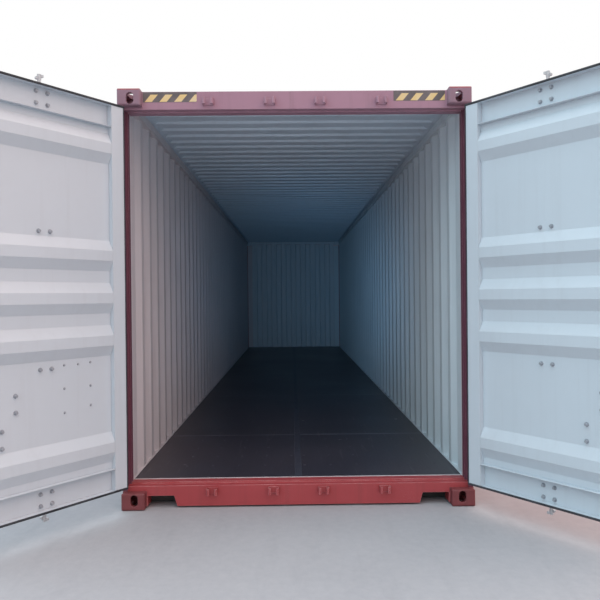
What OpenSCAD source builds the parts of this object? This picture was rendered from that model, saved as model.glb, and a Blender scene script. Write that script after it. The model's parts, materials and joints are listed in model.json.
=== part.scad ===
// Forty foot high cube freight container, standing on its bottom corner castings with its doors open.
// X runs along the length with the doors at the low end, Y across, and Z up.
// The origin lies on the ground in the middle of the footprint.

/* [Overall] */
// Outside length over the corner castings
length = 12192; // [9125:1:13716]
// Outside width over the corner castings
width = 2438; // [2380:1:2600]
// Outside height over the corner castings
height = 2896; // [2700:1:2990]

/* [Corner castings] */
// Length of a casting along the container
casting_l = 178; // [170:0.5:190]
// Width of a casting across the container
casting_w = 162; // [155:0.5:175]
// Height of a casting
casting_h = 118; // [114:0.5:124]
// Thickness of the plates that carry the holes
casting_plate = 28; // [20:0.5:30]
// Thickness of the walls that face the frame
casting_inner_wall = 8; // [6:0.5:11]
// Rounding of the outside edges
casting_edge_r = 14; // [4:0.5:15]
// End to end length of the lifting and locking aperture
aperture_l = 124.5; // [115:0.5:130]
// Width of the lifting and locking aperture
aperture_w = 63.5; // [55:0.5:68]
// Distance of the aperture centres from the container's end faces
aperture_end = 103.5; // [98:0.5:108]
// Distance of the aperture centres from the container's side faces
aperture_side = 89.5; // [82:0.5:95]
// Long size of the lashing holes in the end and side faces
lash_hole_l = 79.5; // [70:0.5:84]
// Short size of the lashing holes
lash_hole_w = 51; // [44:0.5:54]
// Height of the lashing hole centres above the outer plate
lash_hole_h = 68.5; // [64:0.5:70]

/* [Door opening] */
// Width of a rear post from the container's side to the clear opening
post_w = 49; // [44:0.5:56]
// Height of the sill and floor above the ground
floor_top = 168; // [160:0.5:190]
// Height of the header from the clear opening to its top
header_h = 133; // [128:1:200]
// Depth of the rebate that the doors shut against, behind the casting faces
rebate_x = 110; // [108:0.5:120]
// Step from the door recess to the clear opening at each post
rebate_side = 15; // [10:0.5:18]
// Step from the door recess to the clear opening under the header
rebate_top = 9; // [7:0.5:14]
// Step from the sill ledge up to the floor
rebate_sill = 12; // [11:0.5:20]
// Depth of the header and sill faces behind the casting faces
face_x = 58; // [54:0.5:64]

/* [Rear frame] */
// Wall thickness of the pressed outer post
post_t = 6; // [4:0.5:8]
// Thickness of the rolled inner post channel
post_channel_t = 12; // [8:0.5:14]
// Depth of the pressed post's front face behind the casting faces
post_face_x = 46; // [44:0.5:52]
// Set back of the posts and rails from the casting side faces
side_set_back = 3; // [1:0.5:5]
// Plate thickness of the door header
header_t = 4; // [3:0.5:8]
// Set down of the header top from the casting tops
header_down = 10; // [6:0.5:20]
// Plate thickness of the door sill
sill_t = 5; // [3:0.5:8]
// Height of the frame's underside above the ground
under_clear = 12.5; // [11:0.5:17]
// Fall of the sill ledge towards the outside
ledge_fall = 2; // [1:0.5:4]
// Length of the sill cut-out beside each casting
sill_notch_w = 185; // [150:1:220]
// Top of the sill cut-out above the ground
sill_notch_z = 85; // [70:1:95]
// Gap between the sill cut-out and the casting
sill_notch_gap = 7; // [5:0.5:12]
// How far the inner end of the sill cut-out leans towards the middle at its foot
sill_notch_lean = 20; // [5:1:40]

/* [Rails] */
// Side of the square top rail tube
top_rail = 60; // [52:1:66]
// Wall of the top rail tube
top_rail_t = 3; // [2.5:0.5:5]
// Set down of the roof's flat edge from the casting tops
roof_down = 26; // [24:0.5:30]
// Height of the bottom side rail
bottom_rail_h = 162; // [158:1:170]
// Top flange of the bottom side rail
bottom_rail_top = 48; // [44:1:60]
// Bottom flange of the bottom side rail
bottom_rail_foot = 30; // [20:1:40]
// Thickness of the bottom side rail
bottom_rail_t = 4.5; // [3:0.5:6]
// Wall of the front bottom rail
front_rail_t = 4; // [3:0.5:6]
// Set back of the front wall and front rails from the casting end faces
front_set_back = 4; // [2:0.5:6]
// Corner chamfer of the front posts
front_post_chamfer = 28; // [15:1:40]

/* [Walls and roof] */
// Thickness of the side wall sheet
wall_t = 2; // [1.5:0.1:3]
// Depth of the side wall corrugation over both faces
wall_depth = 36; // [30:0.5:38]
// Outer flat of the side wall corrugation
wall_crest = 72; // [60:1:90]
// Inner flat of the side wall corrugation
wall_trough = 70; // [60:1:90]
// Run of each side wall slope
wall_slope = 68; // [50:1:80]
// Depth of the front wall corrugation over both faces
front_depth = 45.6; // [36:0.1:46]
// Outer flat of the front wall corrugation
front_crest = 104; // [90:1:120]
// Inner flat of the front wall corrugation
front_trough = 110; // [90:1:120]
// Run of each front wall slope
front_slope = 18; // [14:1:30]
// Thickness of the roof sheet
roof_t = 2; // [1.5:0.1:3]
// Height of a pressed roof rib over the flat
rib_h = 18; // [12:0.5:19]
// Top width of a pressed roof rib
rib_crest = 91; // [70:1:100]
// Flat between two roof ribs
rib_flat = 84; // [70:1:100]
// Run of each side slope of a roof rib
rib_slope = 17; // [12:1:24]
// Distance from the end of a roof rib to the roof's side edge
rib_end = 84; // [70:1:120]
// Run of the sloped end of a roof rib
rib_end_slope = 30; // [20:1:60]

/* [Base and floor] */
// Height of a cross member
cross_h = 122; // [118:1:126]
// Flange of a cross member
cross_flange = 45; // [35:1:60]
// Thickness of a cross member
cross_t = 4; // [3:0.5:6]
// Smallest distance between cross members
cross_pitch = 290; // [250:1:400]
// Length of the gooseneck tunnel from the front end
tunnel_l = 3300; // [3000:1:3500]
// Clear width of the gooseneck tunnel
tunnel_w = 1029; // [1000:1:1100]
// Clear height of the gooseneck tunnel
tunnel_h = 120; // [118:0.5:126]
// Plate thickness of the gooseneck tunnel
tunnel_t = 6; // [4:0.5:8]
// Width of a bow over the tunnel plate
tunnel_bow_w = 100; // [60:1:140]
// Thickness of the plywood floor
floor_t = 28; // [25:0.5:30]
// Length of the first floor sheets behind the doors
floor_first_l = 1400; // [1000:1:2000]
// Length of the other floor sheets
floor_sheet_l = 2400; // [2000:1:2500]
// Joint between floor sheets
floor_joint = 3; // [2:0.5:5]
// Width of the steel strip down the middle of the floor
floor_strip_w = 50; // [30:1:80]
// Depth of the steel threshold behind the sill
threshold_w = 22; // [15:1:40]
// Thickness of the threshold and of the floor strip
threshold_t = 5; // [3:0.5:8]

/* [Doors] */
// Distance of the hinge pins behind the casting end faces
pin_x = 22; // [21:0.5:24]
// Distance of the hinge pins from the casting side faces
pin_side = 16; // [15:0.5:17]
// Distance of the door's outer face behind the casting end faces
leaf_x = 46; // [45.5:0.5:48]
// Thickness of a door leaf
leaf_t = 50; // [46:0.5:51]
// Gap between a leaf and the post at the hinge side
leaf_hinge_gap = 8; // [7:0.5:10]
// Half of the gap between the two leaves
leaf_mid_gap = 12; // [10:0.5:20]
// Gap between the leaf and the sill ledge or the header
leaf_end_gap = 14; // [12:0.5:20]
// Width of a door stile
stile_w = 100; // [70:1:120]
// Height of the channel along the top and the bottom of a leaf
leaf_channel_h = 150; // [120:1:170]
// Wall of the stiles and channels
leaf_frame_t = 4; // [3:0.5:6]
// Thickness of the door panel sheet
panel_t = 2; // [1.5:0.1:3]
// Depth of a door panel ridge over both faces
panel_depth = 36; // [28:0.5:38]
// Inner flat of a door panel ridge
panel_crest = 66; // [50:1:80]
// Run of each slope of a door panel ridge
panel_slope = 68; // [50:1:80]
// Distance from the middle ridge to its neighbours
panel_near = 280; // [230:1:320]
// Flat between a door channel and the ridge next to it
panel_edge = 45; // [20:1:120]
// How far the gasket lip stands out past the leaf's edges
gasket_lip = 9; // [6:0.5:9]
// How far the gasket lip stands out at the hinge side
gasket_hinge_lip = 3; // [2:0.5:3]
// Thickness of the gasket behind the leaf's inner face
gasket_t = 8; // [5:0.5:9]
// How far the gasket laps over the leaf's inner face
gasket_lap = 5; // [3:0.5:12]
// How far the gasket runs along the leaf's edge
gasket_leg = 14; // [8:0.5:24]
// Angle of the left leaf from shut
left_open_deg = 127; // [100:1:200]
// Angle of the right leaf from shut
right_open_deg = 126; // [100:1:200]

/* [Hinges] */
// Radius of a hinge pin
pin_r = 8; // [6:0.5:9]
// Radius of a hinge eye
eye_r = 15.5; // [13:0.5:15.5]
// Running gap round the hinge pins
pin_gap = 0.4; // [0.2:0.1:1]
// Height of a hinge blade
blade_h = 60; // [40:1:90]
// Thickness of a hinge blade
blade_t = 10; // [8:0.5:10]
// Length of a hinge blade from its pin
blade_l = 190; // [150:1:240]
// Thickness of each hinge lug on the post
lug_t = 12; // [8:0.5:16]
// Gap between a blade and its lugs
lug_gap = 0.5; // [0.3:0.1:1]
// Number of hinges on a leaf
hinge_count = 5; // [4:1:6]
// Distance of the end hinges from the ends of the leaf
hinge_end = 170; // [120:1:300]

/* [Lock gear] */
// Radius of a lock rod
rod_r = 17; // [14:0.5:17]
// Gap between a lock rod and the leaf's outer face
rod_leaf_gap = 3; // [2:0.5:4]
// Distance of the outer lock rods from the middle of the doorway
outer_rod_y = 600; // [540:1:640]
// Distance of the inner lock rods from the middle of the doorway
inner_rod_y = 174; // [150:1:200]
// Radius of the cam's core above and below the rod
cam_core_r = 11; // [9:0.5:14]
// Reach of a cam horn from the rod's axis
cam_reach = 27; // [24:0.5:27]
// How far the nose of a cam horn turns in
cam_nose = 5; // [3:0.5:6]
// Rounding of a cam horn's tip
cam_tip_r = 8; // [4:0.5:8]
// Radius of the collars that keep a rod in its end bearings
collar_r = 19; // [18:0.5:19]
// Height of a collar
collar_h = 10; // [6:1:14]
// Thickness of a cam horn
cam_t = 12; // [10:0.5:14]
// Height of a cam over both horns
cam_h = 34; // [24:1:38]
// Width of a cam keeper
keeper_w = 76; // [74:1:90]
// Height of a cam keeper
keeper_h = 45; // [40:1:60]
// Thickness of a keeper's base plate
keeper_base = 4; // [3:0.5:4]
// Thickness of a keeper's arms
keeper_arm = 6; // [4:0.5:8]
// Half width of a keeper's mouth
keeper_mouth = 17; // [16.5:0.5:19]
// Chamfer of a keeper's lips
keeper_lead = 4; // [2:0.5:5]
// Thickness of a keeper's lips
keeper_lip = 8; // [5:0.5:10]
// Distance of the keeper fronts behind the casting end faces
keeper_front_x = 8; // [6:0.5:9]
// Height of the header keepers' middles above the doorway's top
keeper_up = 60; // [50:1:75]
// Depth of the sill keepers' middles below the floor
keeper_down = 51; // [46:1:60]
// Running gap round the lock rods
rod_gap = 0.4; // [0.2:0.1:1]
// Wall of a rod bearing strap
strap_t = 3; // [2:0.5:3]
// Width of a rod bearing plate
strap_w = 140; // [110:1:170]
// Height of the end bearings
bearing_h = 110; // [80:1:120]
// Height of the middle bearings
mid_bearing_h = 44; // [30:1:60]
// Distance of the end bearings from the ends of the leaf
bearing_end = 12; // [5:1:30]
// Distance of the upper middle bearing above the leaf's middle
bearing_up = 410; // [395:1:500]
// Distance of the lower middle bearing below the leaf's middle
bearing_down = 430; // [400:1:500]
// Height of the upper handles above the ground
upper_handle_z = 845; // [820:1:950]
// Height of the lower handles above the ground
lower_handle_z = 650; // [620:1:700]
// Reach of the handle hub from the rod's axis
hub_l = 48; // [36:1:60]
// Height of the handle hub
hub_h = 46; // [36:1:60]
// Length of a handle from the rod's axis
handle_l = 380; // [330:1:400]
// Height of the handle bar at its hub
handle_h = 34; // [28:1:38]
// Height of the handle bar at its grip
grip_h = 24; // [20:1:28]
// How far the grip drops below the hub
grip_drop = 5; // [0:1:6]
// Thickness of the handle bar
handle_t = 10; // [8:0.5:14]
// Distance from the rod to the catch of the left door's upper handle
left_upper_catch = 229; // [150:1:330]
// Distance from the rod to the catch of the left door's lower handle
left_lower_catch = 282; // [150:1:330]
// Distance from the rod to the catch of the right door's upper handle
right_upper_catch = 345; // [150:1:345]
// Distance from the rod to the catch of the right door's lower handle
right_lower_catch = 174; // [150:1:330]
// Width of a handle catch
catch_w = 70; // [50:1:100]
// Plate thickness of a handle catch
catch_t = 4; // [3:0.5:6]
// Gap between a handle and its catch
catch_gap = 3; // [2:0.5:5]
// Height of a handle catch's base plate
catch_h = 150; // [130:1:170]

/* [Hidden] */
$fn = 48;
// One overrun serves every cut
cut = 1;
half_l = length / 2;
half_w = width / 2;
door_x = -half_l;
front_x = half_l;
side_y = half_w - side_set_back;
casting_y = half_w - casting_w;
post_bottom = casting_h;
post_top = height - casting_h;
roof_z = height - roof_down;
top_rail_z = roof_z - top_rail;
opening_y = half_w - post_w;
recess_y = opening_y + rebate_side;
header_top = height - header_down;
opening_top = header_top - header_h;
recess_top = opening_top + rebate_top;
ledge_z = floor_top - rebate_sill;
rail_top_z = under_clear + bottom_rail_h;
rail_web_y = side_y - bottom_rail_t;
wall_out_y = side_y - bottom_rail_t;
wall_in_y = wall_out_y - wall_depth;
floor_under = floor_top - floor_t;
cross_z = floor_under - cross_h;
floor_start = casting_l + threshold_w;
floor_y = side_y - bottom_rail_foot;
tunnel_x = length - tunnel_l;
tunnel_end = length - front_set_back;
tunnel_skin_y = tunnel_w / 2 + tunnel_t;
tunnel_top = tunnel_h + tunnel_t;
notch_y = casting_y - sill_notch_gap;
notch_end = notch_y - sill_notch_w;

// The doors, shut
pin_y = half_w - pin_side;
leaf_out = recess_y - leaf_hinge_gap;
leaf_in = leaf_mid_gap;
leaf_bottom = ledge_z + leaf_end_gap + ledge_fall * 2;
leaf_top = recess_top - leaf_end_gap;
leaf_mid = (leaf_bottom + leaf_top) / 2;
leaf_back = leaf_x + leaf_t;
panel_in = leaf_in + stile_w;
panel_out = leaf_out - stile_w;
panel_face = leaf_back - panel_depth;
rod_x = leaf_x - rod_leaf_gap - rod_r;
header_keeper_z = opening_top + keeper_up;
sill_keeper_z = floor_top - keeper_down;

// Helpers

// A block between two values on each axis, with X counted from the door end
module block(x, y, z) {
    translate([door_x + x[0], y[0], z[0]])
        cube([x[1] - x[0], y[1] - y[0], z[1] - z[0]]);
}

// The same shape on both sides of the middle
module both_sides() {
    children();
    mirror([0, 1, 0]) children();
}

// A profile drawn as depth from the door end and height, run along Y
module along_y(y0, y1) {
    translate([door_x, y1, 0])
        rotate([90, 0, 0])
            linear_extrude(y1 - y0)
                children();
}

// A profile drawn as Y and height, run along X from the door end
module along_x(x0, x1) {
    translate([door_x + x0, 0, 0])
        rotate([90, 0, 90])
            linear_extrude(x1 - x0)
                children();
}

// A profile drawn as depth from the door end and Y, run upwards
module along_z(z0, z1) {
    translate([door_x, 0, z0])
        linear_extrude(z1 - z0)
            children();
}

module rect(x, y) {
    translate([x[0], y[0]])
        square([x[1] - x[0], y[1] - y[0]]);
}

// A slot with round ends, centred
module slot_2d(long, wide) {
    square([long - wide, wide], center = true);
    for (end = [-1, 1])
        translate([end * (long - wide) / 2, 0])
            circle(d = wide);
}

// A rectangle with round corners, from the origin
module rounded_2d(a, b, r) {
    translate([r, 0])
        square([a - 2 * r, b]);
    translate([0, r])
        square([a, b - 2 * r]);
    for (x = [r, a - r], y = [r, b - r])
        translate([x, y])
            circle(r);
}

// The breaks of a line that steps up to a raised flat and down again, count times.
// nudge moves the breaks sideways, which keeps a sheet's thickness on its slopes.
function raised_breaks(starts, slope, flat, low, high, nudge) = [
    for (s = starts, k = [0 : 3])
        k == 0 ? [s - nudge, low]
        : k == 1 ? [s + slope - nudge, high]
        : k == 2 ? [s + slope + flat + nudge, high]
        : [s + 2 * slope + flat + nudge, low]
];

function reversed(list) = [for (i = [len(list) - 1 : -1 : 0]) list[i]];

// A folded sheet from a to b, as one closed outline
function sheet_outline(a, b, starts, slope, flat, low, rise, t) =
    let (nudge = t * tan(atan(rise / slope) / 2))
    concat(
        [[a, low]],
        raised_breaks(starts, slope, flat, low, low + rise, 0),
        [[b, low], [b, low + t]],
        reversed(raised_breaks(starts, slope, flat, low + t, low + rise + t, nudge)),
        [[a, low + t]]
    );

// Where the raised flats start when they are centred between a and b
function wave_starts(a, b, pitch, body, edge) =
    let (count = floor((b - a - 2 * edge - body) / pitch) + 1,
         first = (a + b - (count - 1) * pitch - body) / 2)
    [for (i = [0 : count - 1]) first + i * pitch];

// Moves a casting from the origin corner to one corner of the container
module at_corner(front, left, top) {
    translate([front ? front_x : door_x, left ? half_w : -half_w, top ? height : 0])
        mirror([front ? 1 : 0, 0, 0])
            mirror([0, left ? 1 : 0, 0])
                mirror([0, 0, top ? 1 : 0])
                    children();
}

// Turns a shut left leaf open about its hinge pins
module swung(angle) {
    translate([door_x + pin_x, pin_y, 0])
        rotate([0, 0, -angle])
            translate([-door_x - pin_x, -pin_y, 0])
                children();
}

module left_leaf() {
    swung(left_open_deg) children();
}

module right_leaf() {
    mirror([0, 1, 0]) swung(right_open_deg) children();
}

// Corner castings

module casting() {
    difference() {
        intersection() {
            linear_extrude(casting_h)
                rounded_2d(casting_l, casting_w, casting_edge_r);
            rotate([90, 0, 90])
                linear_extrude(casting_l)
                    rounded_2d(casting_w, casting_h, casting_edge_r);
            translate([0, casting_w, 0])
                rotate([90, 0, 0])
                    linear_extrude(casting_w)
                        rounded_2d(casting_l, casting_h, casting_edge_r);
        }
        translate([casting_plate, casting_plate, casting_plate])
            cube([
                casting_l - casting_plate - casting_inner_wall,
                casting_w - casting_plate - casting_inner_wall,
                casting_h - casting_plate - casting_inner_wall
            ]);
        translate([aperture_end, aperture_side, -cut])
            linear_extrude(casting_plate + 2 * cut)
                slot_2d(aperture_l, aperture_w);
        translate([-cut, aperture_side, lash_hole_h])
            rotate([90, 90, 90])
                linear_extrude(casting_plate + 2 * cut)
                    slot_2d(lash_hole_l, lash_hole_w);
        translate([aperture_end, casting_plate + cut, lash_hole_h])
            rotate([90, 0, 0])
                linear_extrude(casting_plate + 2 * cut)
                    slot_2d(lash_hole_l, lash_hole_w);
    }
}

module castings(top) {
    color("sienna")
        for (front = [false, true], left = [false, true])
            at_corner(front, left, top) casting();
}

module bottom_corner_castings() castings(false);
module top_corner_castings() castings(true);

// Posts

module rear_post() {
    color("sienna")
        along_z(post_bottom, post_top)
            union() {
                rect([post_face_x, casting_l], [side_y - post_t, side_y]);
                rect([post_face_x, post_face_x + post_t], [recess_y, side_y]);
                rect([post_face_x, rebate_x], [recess_y, recess_y + post_t]);
                rect([rebate_x, casting_l], [opening_y, opening_y + post_channel_t]);
                rect([rebate_x, rebate_x + post_channel_t], [opening_y, side_y]);
                rect([casting_l - post_channel_t, casting_l], [opening_y, side_y]);
            }
}

module left_rear_post() rear_post();
module right_rear_post() mirror([0, 1, 0]) rear_post();

module front_post() {
    a = front_set_back;
    c = front_post_chamfer;
    t = post_t;
    bevel = t * (sqrt(2) - 1);
    color("sienna")
        translate([front_x, 0, post_bottom])
            mirror([1, 0, 0])
                linear_extrude(post_top - post_bottom)
                    polygon([
                        [casting_l, side_y],
                        [a + c, side_y],
                        [a, side_y - c],
                        [a, casting_y],
                        [a + front_depth, casting_y],
                        [a + front_depth, casting_y + t],
                        [a + t, casting_y + t],
                        [a + t, side_y - c - bevel],
                        [a + c + bevel, side_y - t],
                        [casting_l - t, side_y - t],
                        [casting_l - t, wall_in_y],
                        [casting_l, wall_in_y]
                    ]);
}

module left_front_post() front_post();
module right_front_post() mirror([0, 1, 0]) front_post();

// Door header and sill

module header_profile(grow) {
    t = header_t * grow;
    polygon([
        [face_x + t, recess_top + t],
        [face_x + t, header_top - t],
        [casting_l - t, header_top - t],
        [casting_l - t, opening_top + t],
        [rebate_x + t, opening_top + t],
        [rebate_x + t, recess_top + t]
    ]);
}

module door_header() {
    color("sienna")
        difference() {
            along_y(-recess_y, recess_y)
                difference() {
                    header_profile(0);
                    header_profile(1);
                }
            both_sides() {
                block([0, casting_l + cut], [casting_y, half_w], [post_top, height]);
                block([rebate_x, casting_l + cut], [opening_y, half_w], [opening_top - cut, height]);
            }
        }
}

module sill_profile(grow) {
    t = sill_t * grow;
    polygon([
        [face_x + t, under_clear + t],
        [face_x + t, ledge_z - ledge_fall - t],
        [rebate_x + t, ledge_z - t],
        [rebate_x + t, floor_top - t],
        [casting_l - t, floor_top - t],
        [casting_l - t, under_clear + t]
    ]);
}

// The cut-out beside a casting, whose inner end leans towards the middle at its foot
module sill_notch() {
    foot = notch_end - sill_notch_lean;
    polygon([
        [notch_y, 0],
        [notch_y, sill_notch_z],
        [notch_end, sill_notch_z],
        [foot, under_clear],
        [foot, 0]
    ]);
}

// The plates that line the cut-out
module sill_notch_lining() {
    foot = notch_end - sill_notch_lean;
    rect([notch_end - sill_t, notch_y + sill_t], [sill_notch_z, sill_notch_z + sill_t]);
    rect([notch_y, notch_y + sill_t], [under_clear, sill_notch_z]);
    polygon([
        [notch_end, sill_notch_z],
        [foot, under_clear],
        [foot - sill_t, under_clear],
        [notch_end - sill_t, sill_notch_z]
    ]);
}

module door_sill() {
    color("sienna")
        union() {
            difference() {
                along_y(-recess_y, recess_y)
                    difference() {
                        sill_profile(0);
                        sill_profile(1);
                    }
                both_sides() {
                    block([0, casting_l + cut], [casting_y, half_w], [0, casting_h]);
                    block([rebate_x, casting_l + cut], [opening_y, half_w], [0, floor_top + cut]);
                    along_x(0, casting_l + cut)
                        sill_notch();
                }
            }
            both_sides()
                along_x(face_x, casting_l)
                    sill_notch_lining();
        }
}

// Rails

module front_top_rail() {
    near = front_x - front_set_back - top_rail;
    color("sienna")
        union() {
            difference() {
                translate([near, -casting_y, top_rail_z])
                    cube([top_rail, 2 * casting_y, top_rail]);
                translate([near + top_rail_t, -casting_y - cut, top_rail_z + top_rail_t])
                    cube([top_rail - 2 * top_rail_t, 2 * (casting_y + cut), top_rail - 2 * top_rail_t]);
            }
            translate([front_x - casting_l, -casting_y, roof_z])
                cube([casting_l - front_set_back, 2 * casting_y, top_rail_t]);
        }
}

module front_bottom_rail() {
    t = front_rail_t;
    depth = top_rail;
    near = front_x - front_set_back - depth;
    tall = rail_top_z - under_clear;
    color("sienna")
        difference() {
            translate([near, -casting_y, under_clear])
                cube([depth, 2 * casting_y, tall]);
            translate([near + t, -casting_y - cut, under_clear + t])
                cube([depth - 2 * t, 2 * (casting_y + cut), tall - 2 * t]);
            translate([near - cut, -tunnel_skin_y, 0])
                cube([depth + 2 * cut, 2 * tunnel_skin_y, tunnel_top]);
        }
}

module top_rail_tube() {
    t = top_rail_t;
    color("sienna")
        along_x(casting_l, length - casting_l)
            difference() {
                rect([side_y - top_rail, side_y], [top_rail_z, roof_z]);
                rect([side_y - top_rail + t, side_y - t], [top_rail_z + t, roof_z - t]);
            }
}

module left_top_rail() top_rail_tube();
module right_top_rail() mirror([0, 1, 0]) top_rail_tube();

module bottom_rail() {
    t = bottom_rail_t;
    color("sienna")
        along_x(casting_l, length - casting_l)
            union() {
                rect([rail_web_y, side_y], [under_clear, rail_top_z]);
                rect([side_y - bottom_rail_top, side_y], [rail_top_z - t, rail_top_z]);
                rect([side_y - bottom_rail_foot, side_y], [under_clear, under_clear + t]);
            }
}

module left_bottom_rail() bottom_rail();
module right_bottom_rail() mirror([0, 1, 0]) bottom_rail();

// Walls and roof

module side_wall() {
    pitch = wall_crest + wall_trough + 2 * wall_slope;
    rise = wall_depth - wall_t;
    a = casting_l;
    b = length - casting_l;
    starts = wave_starts(a, b, pitch, wall_crest + 2 * wall_slope, wall_trough / 2);
    color("sienna")
        along_z(rail_top_z, top_rail_z)
            polygon(sheet_outline(a, b, starts, wall_slope, wall_crest, wall_in_y, rise, wall_t));
}

module left_side_wall() side_wall();
module right_side_wall() mirror([0, 1, 0]) side_wall();

module front_wall() {
    pitch = front_crest + front_trough + 2 * front_slope;
    rise = front_depth - wall_t;
    starts = wave_starts(-casting_y, casting_y, pitch, front_crest + 2 * front_slope, front_trough / 2);
    color("sienna")
        translate([front_x - front_set_back - front_depth, 0, rail_top_z])
            rotate([0, 0, 90])
                mirror([0, 1, 0])
                    linear_extrude(top_rail_z - rail_top_z)
                        polygon(sheet_outline(-casting_y, casting_y, starts,
                                              front_slope, front_crest, 0, rise, wall_t));
}

// Everything below the roof's surface, before the sheet is hollowed from below
module under_roof(lift, reach) {
    pitch = rib_crest + rib_flat + 2 * rib_slope;
    a = casting_l;
    b = length - casting_l;
    nudge = lift * tan(atan(rib_h / rib_slope) / 2);
    end_nudge = lift * tan(atan(rib_h / rib_end_slope) / 2);
    starts = wave_starts(a, b, pitch, rib_crest + 2 * rib_slope, rib_flat / 2);
    base = roof_z + lift;
    bottom = roof_z - cut * (1 - min(lift, 1));
    foot = side_y - rib_end + end_nudge;
    brow = foot - rib_end_slope;
    intersection() {
        along_y(-side_y - reach, side_y + reach)
            polygon(concat(
                [[a - reach, bottom], [a - reach, base]],
                raised_breaks(starts, rib_slope, rib_crest, base, base + rib_h, nudge),
                [[b + reach, base], [b + reach, bottom]]
            ));
        along_x(a - reach, b + reach)
            polygon([
                [-side_y - reach, bottom],
                [-side_y - reach, base],
                [-foot, base],
                [-brow, base + rib_h],
                [brow, base + rib_h],
                [foot, base],
                [side_y + reach, base],
                [side_y + reach, bottom]
            ]);
    }
}

module roof_panel() {
    color("sienna")
        difference() {
            under_roof(roof_t, 0);
            under_roof(0, cut);
        }
}

// Base and floor

// A channel on edge, with its web towards the doors
module channel_2d(x0) {
    t = cross_t;
    rect([x0, x0 + t], [cross_z, floor_under]);
    rect([x0, x0 + cross_flange], [cross_z, cross_z + t]);
    rect([x0, x0 + cross_flange], [floor_under - t, floor_under]);
}

module cross_members() {
    run = tunnel_x - cross_flange - casting_l;
    count = floor(run / cross_pitch);
    color("sienna")
        for (i = [0 : count])
            along_y(-rail_web_y, rail_web_y)
                channel_2d(casting_l + i * run / count);
}

// Where the members beside the tunnel start
function tunnel_rows() =
    let (run = tunnel_l - casting_l - 3 * tunnel_bow_w / 2,
         count = floor(run / cross_pitch))
    [for (i = [0 : count]) tunnel_x + tunnel_bow_w / 2 + i * run / count];

module gooseneck_tunnel() {
    color("sienna")
        block([tunnel_x, tunnel_end], [-tunnel_skin_y, tunnel_skin_y], [tunnel_h, tunnel_top]);
}

module tunnel_sides() {
    color("sienna")
        both_sides()
            block([tunnel_x, tunnel_end], [tunnel_w / 2, tunnel_skin_y], [under_clear, tunnel_h]);
}

module tunnel_bows() {
    color("sienna")
        for (x = tunnel_rows())
            block([x, x + tunnel_bow_w], [-tunnel_skin_y, tunnel_skin_y], [tunnel_top, floor_under]);
}

module tunnel_outriggers() {
    color("sienna")
        both_sides()
            for (x = tunnel_rows())
                along_y(tunnel_skin_y, rail_web_y)
                    channel_2d(x);
}

module floor_sheets() {
    start = floor_start;
    end = length - front_set_back - top_rail;
    rows = ceil((end - start - floor_first_l) / floor_sheet_l);
    color("dimgray")
        both_sides()
            difference() {
                for (i = [0 : rows]) {
                    from = i == 0 ? start : start + floor_first_l + (i - 1) * floor_sheet_l;
                    to = i == rows ? end : start + floor_first_l + i * floor_sheet_l - floor_joint;
                    block([from, to], [floor_strip_w / 2, floor_y], [floor_under, floor_top]);
                }
                block([length - casting_l - floor_joint, length], [wall_in_y - floor_joint, side_y],
                      [floor_under - cut, floor_top + cut]);
            }
}

module floor_centre_strip() {
    t = threshold_t;
    half = floor_strip_w / 2;
    color("gray")
        along_x(floor_start, length - front_set_back - top_rail)
            union() {
                rect([-half, half], [floor_top - t, floor_top]);
                rect([-half, -half + t], [floor_under, floor_top]);
                rect([half - t, half], [floor_under, floor_top]);
            }
}

module threshold() {
    t = threshold_t;
    color("lightgray")
        along_y(-floor_y, floor_y)
            union() {
                rect([casting_l, casting_l + t], [floor_under, floor_top]);
                rect([casting_l, floor_start], [floor_top - t, floor_top]);
            }
}

// Cam keepers

// One keeper in plan, centred on its rod, with its mouth towards the doors' outside
module keeper_2d() {
    half = keeper_w / 2;
    inside = half - keeper_arm;
    lip_back = keeper_front_x + keeper_lip;
    rect([face_x - keeper_base, face_x], [-half, half]);
    for (side = [0, 1])
        mirror([0, side])
            polygon([
                [face_x, half],
                [lip_back, half],
                [keeper_front_x, inside],
                [keeper_front_x, keeper_mouth + keeper_lead],
                [keeper_front_x + keeper_lead, keeper_mouth],
                [lip_back, keeper_mouth],
                [lip_back, inside],
                [face_x, inside]
            ]);
}

module keepers(z) {
    color("firebrick")
        both_sides()
            for (y = [outer_rod_y, inner_rod_y])
                translate([0, y, 0])
                    along_z(z - keeper_h / 2, z + keeper_h / 2)
                        keeper_2d();
}

module header_cam_keepers() keepers(header_keeper_z);
module sill_cam_keepers() keepers(sill_keeper_z);

// Hinges

function hinge_heights() =
    let (run = leaf_top - leaf_bottom - 2 * hinge_end)
    [for (i = [0 : hinge_count - 1]) leaf_bottom + hinge_end + i * run / (hinge_count - 1)];

// Lugs and pin of one hinge, on the post
module hinge_lug() {
    reach = blade_h / 2 + lug_gap;
    for (side = [0, 1])
        mirror([0, 0, side])
            along_z(reach, reach + lug_t)
                union() {
                    translate([pin_x, pin_y])
                        circle(eye_r);
                    rect([pin_x, post_face_x], [pin_y - eye_r, side_y - pin_gap]);
                }
    translate([0, 0, -reach - lug_t / 2])
        along_z(0, 2 * reach + lug_t)
            translate([pin_x, pin_y])
                circle(pin_r);
}

module hinge_lugs() {
    color("sienna")
        for (z = hinge_heights())
            translate([0, 0, z])
                hinge_lug();
}

module left_hinge_lugs() hinge_lugs();
module right_hinge_lugs() mirror([0, 1, 0]) hinge_lugs();

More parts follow.
